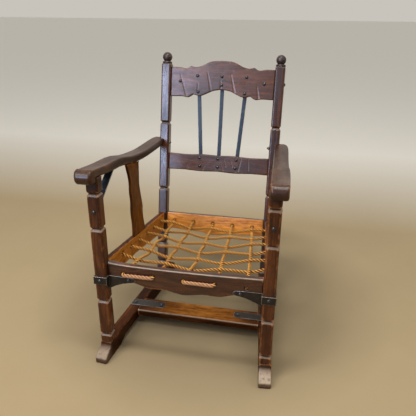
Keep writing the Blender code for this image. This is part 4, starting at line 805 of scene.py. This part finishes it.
# %% [markdown]
# ## Seat rails
# The rear and side rails are amber on their inner faces and dark elsewhere. Two materials would meet in a
# hard line, so the amber is painted on the points by the way they face. The front rail is pale along its top
# edge, worn where legs rub it and with a painted highlight.

# %% Seat rails
RAIL_VOXEL = 0.0022
HOLE_CALM = 0.016
HOLE_SHADE = 0.0105
HOLE_DARK = 0.7
SIDE_AMBER = 0.60
PALE_BAND = 0.016
PALE_DEEP = 0.006
RUB_X = -0.085
RUB_REACH = 0.07
RUB_DROP = 0.066
RUB_WEAR = 0.55
hole_mouths = front_face + front_mouth + rear_face + rear_mouth
for side, sign in SIDES:
    for out in (-SIDE_RAIL_HALF, SIDE_RAIL_HALF):
        hole_mouths += [side_point(sign, out, y, z) for y, z in zip(row_y, row_z)]
hole_points = np.array([tuple(mouth) for mouth in hole_mouths]) + np.array((0.0, LEGS_FRONT, 0.0))


def near_hole(points, reach):
    """1 at a rope hole's mouth, 0 beyond a reach from all of them."""
    gaps = np.full(len(points), 1.0)
    for mouth in hole_points:
        gaps = np.minimum(gaps, np.linalg.norm(points - mouth, axis=1))
    return np.clip((reach - gaps) / (0.4 * reach), 0.0, 1.0)


def rear_rail_touch(points, normals, edges):
    """Amber inside, with painted shade round the holes."""
    inner = facing(normals, BACK_OUT)
    amber = inner * (1.0 - HOLE_DARK * near_hole(points, HOLE_SHADE))
    return {"amber": amber, "wear": -edges * (0.5 + inner)}


def side_rail_touch(sign):
    """A thinner amber inside, with painted shade round the holes."""
    def touch(points, normals, edges):
        inner = facing(normals, Vector((-sign, 0.0, 0.0)))
        amber = SIDE_AMBER * inner * (1.0 - HOLE_DARK * near_hole(points, HOLE_SHADE))
        return {"amber": amber, "wear": -edges * near_hole(points, HOLE_CALM)}
    return touch


def front_rail_touch(points, normals, edges):
    """A pale top edge in front, worn and with a painted highlight, and one rubbed place below."""
    top = np.clip((points[:, 2] - SEAT_FRONT_Z + PALE_BAND) / 0.008, 0.0, 1.0)
    ahead_edge = np.clip((LEGS_FRONT + FRONT_RAIL_SET + PALE_DEEP - points[:, 1]) / 0.003, 0.0, 1.0)
    low = np.clip((SEAT_FRONT_Z - RUB_DROP - points[:, 2]) / 0.008, 0.0, 1.0)
    low_rub = hump(points[:, 0], RUB_X, RUB_REACH) * low
    wear = RUB_WEAR * low_rub * facing(normals, FRONT_OUT) - edges * near_hole(points, HOLE_CALM)
    return {"bare": np.clip(1.6 * edges - 0.35, 0.0, 0.8) * top * ahead_edge, "wear": wear}


worked("front_seat_rail", "_wood", post_wood, ACROSS, RAIL_VOXEL, touch=front_rail_touch)
worked("rear_seat_rail", "_wood", post_wood, ACROSS, RAIL_VOXEL, touch=rear_rail_touch)
for side, sign in SIDES:
    worked("side_seat_rail_" + side, "_wood", rail_wood, BACKWARD, RAIL_VOXEL,
           touch=side_rail_touch(sign))
print("seat rails:", made["front_seat_rail"], "faces in the front one")

# %% [markdown]
# ## Splats
# Each arm is carried by a flat board with wavy edges, scribed to the arm above it as the legs were. Its inner
# face is painted a little warmer, as painted sunlight.

# %% Splats
SPLAT_VOXEL = 0.0016
SPLAT_DEPTH = 0.0002
SPLAT_AMBER = 0.03
SPLAT_SUNLIT_FACE = 0.10


def splat_touch(under, sign):
    """Scribed to the arm, with painted sunlight warming the inner face."""
    def touch(points, normals, edges):
        rise = risen(under, sign, points, normals)
        inner = facing(normals, -sign * ACROSS)
        return {"cut": -rise, "wear": -0.45 * edges, "amber": SPLAT_AMBER + SPLAT_SUNLIT_FACE * inner}
    return touch


for side, sign in SIDES:
    worked("arm_splat_" + side, "_wood", rail_wood, UPRIGHT, SPLAT_VOXEL, 1, SPLAT_DEPTH,
           touch=splat_touch(undersides[sign], sign))
print("splats:", made["arm_splat_left"], "faces each")

# %% [markdown]
# ## Runners and stretcher board
# The chair stands on two sled runners, scuffed grey at the toes with a painted highlight there, and painted
# shade on their sides. One board joins them. Feet have rested on it, so its top shows amber in the middle and
# its front edge is rubbed bare; its front face carries painted shade.

# %% Runners and stretcher board
BASE_VOXEL = 0.0026
TOE_Y = LEGS_FRONT + 0.006
TOE_BLEND = 0.03
LEFT_TOE_SCUFF_AND_HIGHLIGHT = 0.7
BOARD_X = 0.01
BOARD_REACH = 0.24
BOARD_AMBER = 0.34


def runner_touch(points, normals, edges):
    """Toes scuffed bare on top with a painted highlight, the right one more, and painted shade on the sides
    behind them.
    """
    toe = np.clip((TOE_Y - points[:, 1]) / TOE_BLEND, 0.0, 1.0)
    scuff_and_highlight = np.where(points[:, 0] > 0, 1.0, LEFT_TOE_SCUFF_AND_HIGHLIGHT)
    bare = scuff_and_highlight * toe * np.clip(0.25 + normals[:, 2], 0.0, 1.0)
    side_face = np.clip(1.2 * np.abs(normals[:, 0]) - 0.3, 0.0, 1.0)
    return {"bare": bare, "wear": -0.4 * edges * toe, "dirt": 0.5 * side_face * (1.0 - toe)}


def board_touch(points, normals, edges):
    """Amber in the middle of the top, a bare front edge and painted shade on the front face."""
    top = facing(normals, UPRIGHT)
    middle = hump(points[:, 0], BOARD_X, BOARD_REACH)
    front_edge = edges * np.clip(-normals[:, 1] * 2.0, 0.0, 1.0) * np.clip(normals[:, 2] * 2.0, 0.0, 1.0)
    shade = 0.6 * facing(normals, FRONT_OUT)
    return {"amber": BOARD_AMBER * top * middle, "bare": np.clip(front_edge * 1.2, 0.0, 1.0), "dirt": shade}


for side, sign in SIDES:
    worked("runner_" + side, "_wood", rail_wood, BACKWARD, BASE_VOXEL, touch=runner_touch)
worked("stretcher_board", "_wood", rail_wood, ACROSS, BASE_VOXEL, touch=board_touch)
print("base:", made["runner_left"], made["stretcher_board"], "faces")

# %% [markdown]
# ## Ironwork
# Sheet iron wants a finer skin than wood, because a strap is only two or three millimetres thick. The remesh
# still thins the bars of the back, so their skin is pushed out again by what they lost.

# %% Straps, bars and braces
IRON_VOXEL = 0.0008
IRON_EDGE = 0.0007
SKIN_LOSS = 0.0004


def filled_out(points, normals, edges):
    """Gives thin iron back what the remesh took from it."""
    return {"cut": -SKIN_LOSS}


for side, sign in SIDES:
    for node, finish in (("front_strap_", iron), ("stretcher_strap_", iron), ("arm_brace_", bar_iron)):
        worked(node + side, "_iron", finish, ACROSS, IRON_VOXEL, 1, 0.0002, IRON_EDGE)
    worked("arm_bolt_" + side, "_iron", iron, ACROSS, IRON_VOXEL, 2, 0.0001, IRON_EDGE)
for place_name in ("left", "centre", "right"):
    worked("back_bar_" + place_name, "_iron", bar_iron, RAKED,
           IRON_VOXEL, 1, 0.0001, IRON_EDGE, touch=filled_out)
print("ironwork:", made["front_strap_left"], "faces in a corner strap")

# %% [markdown]
# ## Nails and finials
# Both are turned about an axis, so both come from a profile swung round it: the finial's is read from its CAD
# solid and rounded, the nail's is a dome whose rim was flattened by the hammer.

# %% Shapes swung round an axis
SWUNG_DENT = 0.0003
KNOCK_ROUND = 1.6
KNOCK_UP = 300.0


def swung(profile, axis, centre, steps, dents, seed):
    """A closed mesh from (height, radius) pairs swung round an axis through a centre."""
    first = axis.orthogonal().normalized()
    second = axis.cross(first)
    verts = []
    for height, radius in profile:
        for step in range(steps):
            angle = 2 * math.pi * step / steps
            spoke = first * math.cos(angle) + second * math.sin(angle)
            knock_at = spoke * KNOCK_ROUND + axis * height * KNOCK_UP
            knock = noise.noise(knock_at + Vector((seed, seed * 2.3, 0.0)))
            verts.append(centre + axis * height + spoke * max(radius + dents * (knock - 0.5), 0.0))
    faces = []
    for ring in range(len(profile) - 1):
        for step in range(steps):
            after = (step + 1) % steps
            faces.append((ring * steps + step, ring * steps + after,
                          (ring + 1) * steps + after, (ring + 1) * steps + step))
    faces.append(tuple(range(steps))[::-1])
    faces.append(tuple((len(profile) - 1) * steps + step for step in range(steps)))
    mesh = bpy.data.meshes.new("swung")
    mesh.from_pydata(verts, [], faces)
    return mesh


def plain_marks(node, mesh, seed, wear, dirt):
    """Keeps a turned mesh in its node's box and gives it the attributes that the finishes ask for."""
    low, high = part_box(node)
    points = np.clip(points_of(mesh), np.array(low), np.array(high))
    mesh.vertices.foreach_set("co", points.astype(np.float32).ravel())
    carry(mesh, "grain_at", grain_places(points, UPRIGHT, seed))
    carry(mesh, "wear", np.zeros(len(points)) + wear)
    carry(mesh, "hollow", np.zeros(len(points)) + dirt)
    carry(mesh, "amber", np.zeros(len(points)))
    carry(mesh, "bare", np.zeros(len(points)))


def along_axis(node, axis):
    """A CAD node's points as heights along an axis, and as places on the plane across it."""
    points = points_of(nodes[node].data)
    direction = np.array(axis)
    heights = points @ direction
    flat = points - heights[:, None] * direction
    return heights, flat


# %% Finials
FINIAL_STEPS = 40
FINIAL_BETWEEN = 5
FINIAL_SEED = 40
FINIAL_DIRT = 0.75

for side, sign in SIDES:
    node = "finial_" + side
    heights, flat = along_axis(node, RAKED)
    middle = (flat.max(axis=0) + flat.min(axis=0)) / 2
    radii = np.linalg.norm(flat - middle, axis=1)
    rings = {}
    for height, radius in zip(np.round(heights, 4), radii):
        rings[height] = max(rings.get(height, 0.0), radius)
    rough_profile = sorted(rings.items())
    low_to_high = np.linspace(rough_profile[0][0], rough_profile[-1][0], len(rough_profile) * FINIAL_BETWEEN)
    profile_radii = np.interp(low_to_high, [h for h, r in rough_profile], [r for h, r in rough_profile])
    profile = list(zip(low_to_high, profile_radii))
    mesh = swung(profile, RAKED, Vector(middle), FINIAL_STEPS, SWUNG_DENT, sign)
    plain_marks(node, mesh, FINIAL_SEED + sign, 0.0, FINIAL_DIRT)
    dressed(node, "_wood", mesh, post_wood)
print("finials:", made["finial_left"], "faces each")

# %% Nails
NAIL_STEPS = 18
NAIL_DOME = ((-0.012, 0.0017), (-0.0001, 0.0018), (0.0001, 0.0062), (0.0008, 0.0065), (0.0016, 0.0061),
             (0.0026, 0.0050), (0.0034, 0.0034), (0.0039, 0.0018), (0.0041, 0.0004))
NAIL_DOME_TALL = NAIL_DOME[-1][0]
NAIL_SEED = 0.7
NAIL_WEAR = 0.30
nail_ways = {"crest_": BACK_OUT, "lower_rail_": BACK_OUT, "leg_nail_": FRONT_OUT, "front_strap_": FRONT_OUT,
             "stretcher_nail_": UPRIGHT, "post_nail_": FRONT_OUT}
nail_nodes = sorted(name for name in nodes if "nail" in name)


def nail_way(node):
    """The direction that a nail's head looks."""
    low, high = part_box(node)
    size = high - low
    if node.startswith("post_nail_") and size.x > size.y:
        return ACROSS if low.x + high.x > 0 else -ACROSS
    return next(way for start, way in nail_ways.items() if node.startswith(start))


for number, node in enumerate(nail_nodes):
    way = nail_way(node)
    heights, flat = along_axis(node, way)
    top = heights.max()
    head = flat[heights > top - NAIL_DOME_TALL]
    middle = (head.max(axis=0) + head.min(axis=0)) / 2
    base = Vector(middle) + way * (top - NAIL_DOME_TALL)
    mesh = swung(NAIL_DOME, way, base, NAIL_STEPS, SWUNG_DENT, NAIL_SEED * number)
    plain_marks(node, mesh, number, NAIL_WEAR, 0.0)
    dressed(node, "_iron", mesh, nail_iron)
print("nails:", len(nail_nodes))

# %% [markdown]
# ## Rope seat: the route
# Two ropes make the seat. One runs from front to back five times, the other from side to side six times, and
# they pass over and under each other. Both turn round on the outside of the rails, from one hole to the next.
# The route is worked out from the rails' own sizes, so that the rope goes through the holes that are there.

# %% Crossings
def crossing(i, j):
    """Where row i meets column j, between the two ropes."""
    share = (row_y[i] - LEG) / (rear_mouth[j].y - LEG)
    x = front_x[j] + (rear_x[j] - front_x[j]) * share + COLUMN_BOW[j] * (1 - (2 * share - 1) ** 4)
    return Vector((x, row_y[i], row_z[i] - ROW_SAG[i] * (1 - (x / inner_x[i]) ** 2)))


def over(i, j):
    """The column's height above a crossing; the row takes the other side."""
    return UPRIGHT * (WEAVE if (i + j) % 2 == 0 else -WEAVE)


def through(points, steps=10):
    """A smooth line through points."""
    line = []
    for k in range(len(points) - 1):
        before = points[max(k - 1, 0)]
        start = points[k]
        end = points[k + 1]
        after = points[min(k + 2, len(points) - 1)]
        for step in range(steps):
            t = step / steps
            bend = 2 * before - 5 * start + 4 * end - after
            curl = 3 * start - before - 3 * end + after
            line.append(0.5 * (2 * start + (end - before) * t + bend * t * t + curl * t ** 3))
    return line + [points[-1]]


# %% Runs, turns and knots
ROPE_R = 0.0055
SLACK_R = 0.0064
TURN_R = 0.0069
KNOT_LONG = 0.0150
KNOT_R = 0.0060
KNOT_TURNS = 2.3
KNOT_NEAR = 0.0035
KNOT_STEPS = 28
KNOT_LEAD = 6
KNOT_ROPE_R = 0.0036
KNOT_RUBBED = 0.2
TURN_STEPS = 6


def column_run(j):
    """One run from front to back, over and under the rows."""
    points = [front_mouth[j]] + [crossing(i, j) + over(i, j) for i in range(len(row_y))] + [rear_mouth[j]]
    return [(p, ROPE_R, 0.0) for p in through(points)]


def row_run(i):
    """One run from side to side, under and over the columns."""
    left = side_point(-1.0, -SIDE_RAIL_HALF, row_y[i], row_z[i])
    right = side_point(1.0, -SIDE_RAIL_HALF, row_y[i], row_z[i])
    points = [left] + [crossing(i, j) - over(i, j) for j in range(COLUMNS)] + [right]
    return [(p, ROPE_R, 0.0) for p in through(points)]


def turn_outside(start, end, out, rubbed):
    """Out of one hole, along the rail's face and into the next; rubbed says how worn the run is."""
    way = (end - start).normalized()
    quarter = []
    for step in range(TURN_STEPS + 1):
        angle = math.pi / 2 * step / TURN_STEPS
        share = step / TURN_STEPS
        reach = out * TURN_R * math.sin(angle)
        shift = way * TURN_R * (1 - math.cos(angle))
        quarter.append((reach, shift, ROPE_R + (SLACK_R - ROPE_R) * share, rubbed * share))
    first = [(start + reach + shift, r, worn) for reach, shift, r, worn in quarter]
    last = [(end + reach - shift, r, worn) for reach, shift, r, worn in quarter]
    return first + last[::-1]


def stopper(mouth, out):
    """A barrel knot outside a hole, from the hole to the rope's end."""
    first = out.orthogonal().normalized()
    second = out.cross(first)
    line = []
    for step in range(KNOT_LEAD):
        line.append((mouth + out * KNOT_LONG * step / KNOT_LEAD, KNOT_ROPE_R, KNOT_RUBBED))
    for step in range(KNOT_STEPS + 1):
        share = step / KNOT_STEPS
        angle = 2 * math.pi * KNOT_TURNS * share
        spoke = first * math.cos(angle) + second * math.sin(angle)
        swell = min(1.0, share * 4.0)
        back = out * (KNOT_LONG - (KNOT_LONG - KNOT_NEAR) * share)
        line.append((mouth + back + spoke * KNOT_R * swell, KNOT_ROPE_R, KNOT_RUBBED))
    return line


# %% Two routes
END_IN = 0.004
END_RUBBED = 0.3
FRONT_RUBBED = 1.0
OUTER_RUBBED = 0.4
side_mouth = {s: [side_point(s, SIDE_RAIL_HALF, y, z) for y, z in zip(row_y, row_z)] for name, s in SIDES}
side_out = {s: side_point(s, 1.0, LEG, 0.0) - side_point(s, 0.0, LEG, 0.0) for name, s in SIDES}
lengthwise = stopper(rear_face[0], REAR_OUT)[::-1]
for j in range(COLUMNS):
    run = column_run(j)
    lengthwise += run[::-1] if j % 2 == 0 else run
    if j == COLUMNS - 1:
        lengthwise.append((front_face[j] - FRONT_OUT * END_IN, ROPE_R, END_RUBBED))
    elif j % 2 == 0:
        lengthwise += turn_outside(front_face[j], front_face[j + 1], FRONT_OUT, FRONT_RUBBED)
    else:
        lengthwise += turn_outside(rear_face[j], rear_face[j + 1], REAR_OUT, OUTER_RUBBED)
crosswise = stopper(side_mouth[1.0][0], side_out[1.0])[::-1]
for i in range(len(row_y)):
    run = row_run(i)
    crosswise += run[::-1] if i % 2 == 0 else run
    sign = -1.0 if i % 2 == 0 else 1.0
    if i == len(row_y) - 1:
        crosswise += stopper(side_mouth[sign][i], side_out[sign])
    else:
        crosswise += turn_outside(side_mouth[sign][i], side_mouth[sign][i + 1], side_out[sign], OUTER_RUBBED)
print("route points:", len(lengthwise), len(crosswise))

# %% [markdown]
# ## Rope seat: three strands
# A rope could be a smooth tube with a twisted bump, but its outline would stay smooth and the light would
# give it away. Here three round strands wind about the route like a long spring, one turn every 38 mm. A
# frame is carried along the route without twisting, so the strands turn only by their own lay.

# %% Even steps along a route
ROPE_STEP = 0.0021
ROPE_SMOOTH = 3
SAME_POINT = 1e-6
PARALLEL = 1e-3


def even_route(line):
    """Points, radii and wear at even steps along a route, with its corners eased."""
    points = np.array([tuple(p) for p, r, worn in line])
    points[:, 1] += LEGS_FRONT
    sizes = np.array([(r, worn) for p, r, worn in line])
    gaps = np.linalg.norm(np.diff(points, axis=0), axis=1)
    keep = np.concatenate(([True], gaps > SAME_POINT))
    points = points[keep]
    sizes = sizes[keep]
    travel = np.concatenate(([0.0], np.cumsum(np.linalg.norm(np.diff(points, axis=0), axis=1))))
    at = np.linspace(0.0, travel[-1], int(travel[-1] / ROPE_STEP))
    even = np.stack([np.interp(at, travel, points[:, axis]) for axis in range(3)], axis=1)
    for turn in range(ROPE_SMOOTH):
        even[1:-1] = (even[:-2] + 2 * even[1:-1] + even[2:]) / 4
    return even, np.interp(at, travel, sizes[:, 0]), np.interp(at, travel, sizes[:, 1]), at


def carried_frame(even):
    """A pair of directions across the route at each step, carried along without twist."""
    tangents = np.gradient(even, axis=0)
    tangents /= np.linalg.norm(tangents, axis=1)[:, None]
    across = np.zeros_like(even)
    start = np.cross(tangents[0], (0.0, 0.0, 1.0))
    if np.linalg.norm(start) < PARALLEL:
        start = np.cross(tangents[0], (1.0, 0.0, 0.0))
    across[0] = start / np.linalg.norm(start)
    for step in range(1, len(even)):
        level = across[step - 1] - tangents[step] * (across[step - 1] @ tangents[step])
        across[step] = level / np.linalg.norm(level)
    return across, np.cross(tangents, across)


# %% Strands wound round a route
STRANDS = 3
LAY = 0.038
STRAND_SIDES = 12
STRAND_SHARE = 0.44
STRAND_LEAN = 1.05
STRAND_APART = 7.0
LUMP_SCALE = 90.0
LUMP = 0.06
GROOVE_SHADE_FROM = 0.92
GROOVE_SHADE_BLEND = 0.42


def laid(name, line, seed):
    """A rope of three strands along a route."""
    even, radii, worn, at = even_route(line)
    across, beside = carried_frame(even)
    verts = []
    faces = []
    lay = []
    groove = []
    rubbed = []
    for strand in range(STRANDS):
        turn = 2 * math.pi * (at / LAY + strand / STRANDS)
        outward = across * np.cos(turn)[:, None] + beside * np.sin(turn)[:, None]
        sideways = beside * np.cos(turn)[:, None] - across * np.sin(turn)[:, None]
        lumps = [noise.noise(Vector((s * LUMP_SCALE, strand * STRAND_APART, seed))) for s in at]
        full = radii * (1.0 + LUMP * np.array(lumps))
        core = even + outward * (full * (1.0 - STRAND_SHARE))[:, None]
        for k in range(STRAND_SIDES):
            angle = 2 * math.pi * k / STRAND_SIDES
            spoke = outward * math.cos(angle) + sideways * (STRAND_LEAN * math.sin(angle))
            verts.append(core + spoke * (full * STRAND_SHARE)[:, None])
            depth = min(1.0, max(0.0, GROOVE_SHADE_FROM - math.cos(angle)) / GROOVE_SHADE_BLEND)
            lay.append(np.stack([at, np.full(len(at), angle), np.full(len(at), strand + seed)], axis=1))
            groove.append(np.full(len(at), depth))
            rubbed.append(worn)
    count = len(at)
    for strand in range(STRANDS):
        for k in range(STRAND_SIDES):
            one = (strand * STRAND_SIDES + k) * count
            two = (strand * STRAND_SIDES + (k + 1) % STRAND_SIDES) * count
            for step in range(count - 1):
                faces.append((one + step, two + step, two + step + 1, one + step + 1))
        for end in (0, count - 1):
            faces.append([(strand * STRAND_SIDES + k) * count + end for k in range(STRAND_SIDES)])
    mesh = bpy.data.meshes.new(name)
    mesh.from_pydata(np.concatenate(verts), [], faces)
    carry(mesh, "lay", np.concatenate(lay))
    carry(mesh, "groove", np.concatenate(groove))
    carry(mesh, "rubbed", np.concatenate(rubbed))
    print(name, "length", round(float(at[-1]), 3), "m,", len(faces), "faces")
    return mesh


for node, line, seed in (("seat_rope_lengthwise", lengthwise, 1.0), ("seat_rope_crosswise", crosswise, 11.0)):
    dressed(node, "_laid", laid(node, line, seed), rope_fibre)

# %% [markdown]
# ## Floor and light
# The floor is plain and pale, with a painted shadow that makes it a little deeper under the chair, so that the
# rope stands out from it, and paler far behind. The surround is bright behind the chair and dim in front of
# it, so that the varnish isn't veiled. One broad soft light comes from the front left, with a narrow one
# overhead and a weak one at the right. A cool panel stands in front, and the leaning posts mirror it as their
# cold sheen.

# %% Floor
FLOOR_SIZE = 90.0
half = FLOOR_SIZE / 2
floor_corners = [(-half, -half, 0), (half, -half, 0), (half, half, 0), (-half, half, 0)]
floor_mesh = bpy.data.meshes.new("floor")
floor_mesh.from_pydata(floor_corners, [], [(0, 1, 2, 3)])
floor = bpy.data.objects.new("floor", floor_mesh)
bpy.context.scene.collection.objects.link(floor)
print("floor", FLOOR_SIZE, "m square")

# %% Floor paint
FLOOR_DEEP = (0.300, 0.226, 0.126, 1.0)
FLOOR_WARM = (0.336, 0.257, 0.147, 1.0)
FLOOR_FAR = (0.72, 0.685, 0.61, 1.0)
FLOOR_FAR_Y = (0.9, 2.4)
FLOOR_MOTTLE = (3.0, 3.0, 3.0)
SHADE_MIDDLE = (0.0, 0.18, 0.0)
SHADE_REACH = (0.25, 0.75)
SHADE_TONE = 0.55
floor_paint, floor_tree, floor_shader = fresh_material("pale_floor")
floor_place = place(floor_tree, "ShaderNodeTexCoord")
floor_mottle = stretched_noise(floor_tree, floor_place.outputs["Object"], FLOOR_MOTTLE, 6.0, 0.7)
floor_near = mixed(floor_tree, floor_mottle, FLOOR_DEEP, FLOOR_WARM)
# Painted shadow: the floor is darker near the chair, fading out with distance.
floor_reach = place(floor_tree, "ShaderNodeVectorMath", {"operation": "DISTANCE"})
floor_reach.inputs[1].default_value = SHADE_MIDDLE
floor_tree.links.new(floor_place.outputs["Object"], floor_reach.inputs[0])
floor_painted_shadow = spread(floor_tree, floor_reach.outputs["Value"], *SHADE_REACH, SHADE_TONE, 1.0)
floor_near = mixed(floor_tree, 1.0, floor_near, floor_painted_shadow, "MULTIPLY")
floor_parts = place(floor_tree, "ShaderNodeSeparateXYZ")
floor_tree.links.new(floor_place.outputs["Object"], floor_parts.inputs[0])
floor_back = spread(floor_tree, floor_parts.outputs["Y"], *FLOOR_FAR_Y)
floor_colour = mixed(floor_tree, floor_back, floor_near, FLOOR_FAR)
floor_tree.links.new(floor_colour, floor_shader.inputs["Base Color"])
floor_shader.inputs["Roughness"].default_value = 0.8
floor_shader.inputs["Specular IOR Level"].default_value = 0.1
floor_mesh.materials.append(floor_paint)
print("floor paint:", floor_paint.name)

# %% Lights
AIM = Vector((0.0, 0.0, 0.5))


def soft_light(name, spot, width, height, power, colour, sheen_only=False):
    """A soft box aimed at the chair; one for sheen only shows in the varnish and lights nothing else."""
    lamp = bpy.data.lights.new(name, "AREA")
    lamp.shape = "RECTANGLE"
    lamp.size = width
    lamp.size_y = height
    lamp.energy = power
    lamp.color = colour
    light = bpy.data.objects.new(name, lamp)
    light.location = spot
    light.rotation_euler = (AIM - Vector(spot)).to_track_quat("-Z", "Y").to_euler()
    light.visible_diffuse = not sheen_only
    bpy.context.scene.collection.objects.link(light)


soft_light("key", (-1.6, -2.1, 2.8), 1.5, 1.2, 70.0, (1.0, 0.96, 0.92))
soft_light("overhead", (0.1, -0.72, 3.3), 1.5, 0.36, 58.0, (0.96, 0.98, 1.0))
soft_light("fill", (2.6, -0.6, 2.1), 1.4, 1.4, 18.0, (1.0, 0.90, 0.78))
soft_light("cool_panel", (-1.9, -4.1, 1.62), 0.9, 1.7, 160.0, (0.54, 0.68, 1.0), sheen_only=True)
print("lights:", len(bpy.data.lights))

# %% Surround
SKY_COOL = (0.62, 0.76, 1.0, 1.0)
SKY_WARM = (1.0, 0.95, 0.87, 1.0)
sky = bpy.data.worlds.new("bright_behind")
sky.use_nodes = True
sky_tree = sky.node_tree
sky_way = place(sky_tree, "ShaderNodeTexCoord").outputs["Generated"]
sky_parts = place(sky_tree, "ShaderNodeSeparateXYZ")
sky_tree.links.new(sky_way, sky_parts.inputs[0])
behind = spread(sky_tree, sky_parts.outputs["Y"], -0.35, 0.5, 0.50, 1.05)
height = spread(sky_tree, sky_parts.outputs["Z"], 0.05, 0.65, 0.55, 1.0)
sky_shader = sky_tree.nodes["Background"]
sky_tint = mixed(sky_tree, behind, SKY_COOL, SKY_WARM)
sky_tree.links.new(sky_tint, sky_shader.inputs["Color"])
sky_tree.links.new(times(sky_tree, behind, height), sky_shader.inputs["Strength"])
bpy.context.scene.world = sky
bpy.context.scene.view_settings.view_transform = "Standard"
print("surround:", sky.name)

# %% [markdown]
# ## Finish
# The dressed chair has to stay inside the CAD model's box. The number of pieces and faces is printed.

# %% Pieces and faces
print("pieces:", len(made), "faces:", sum(made.values()))
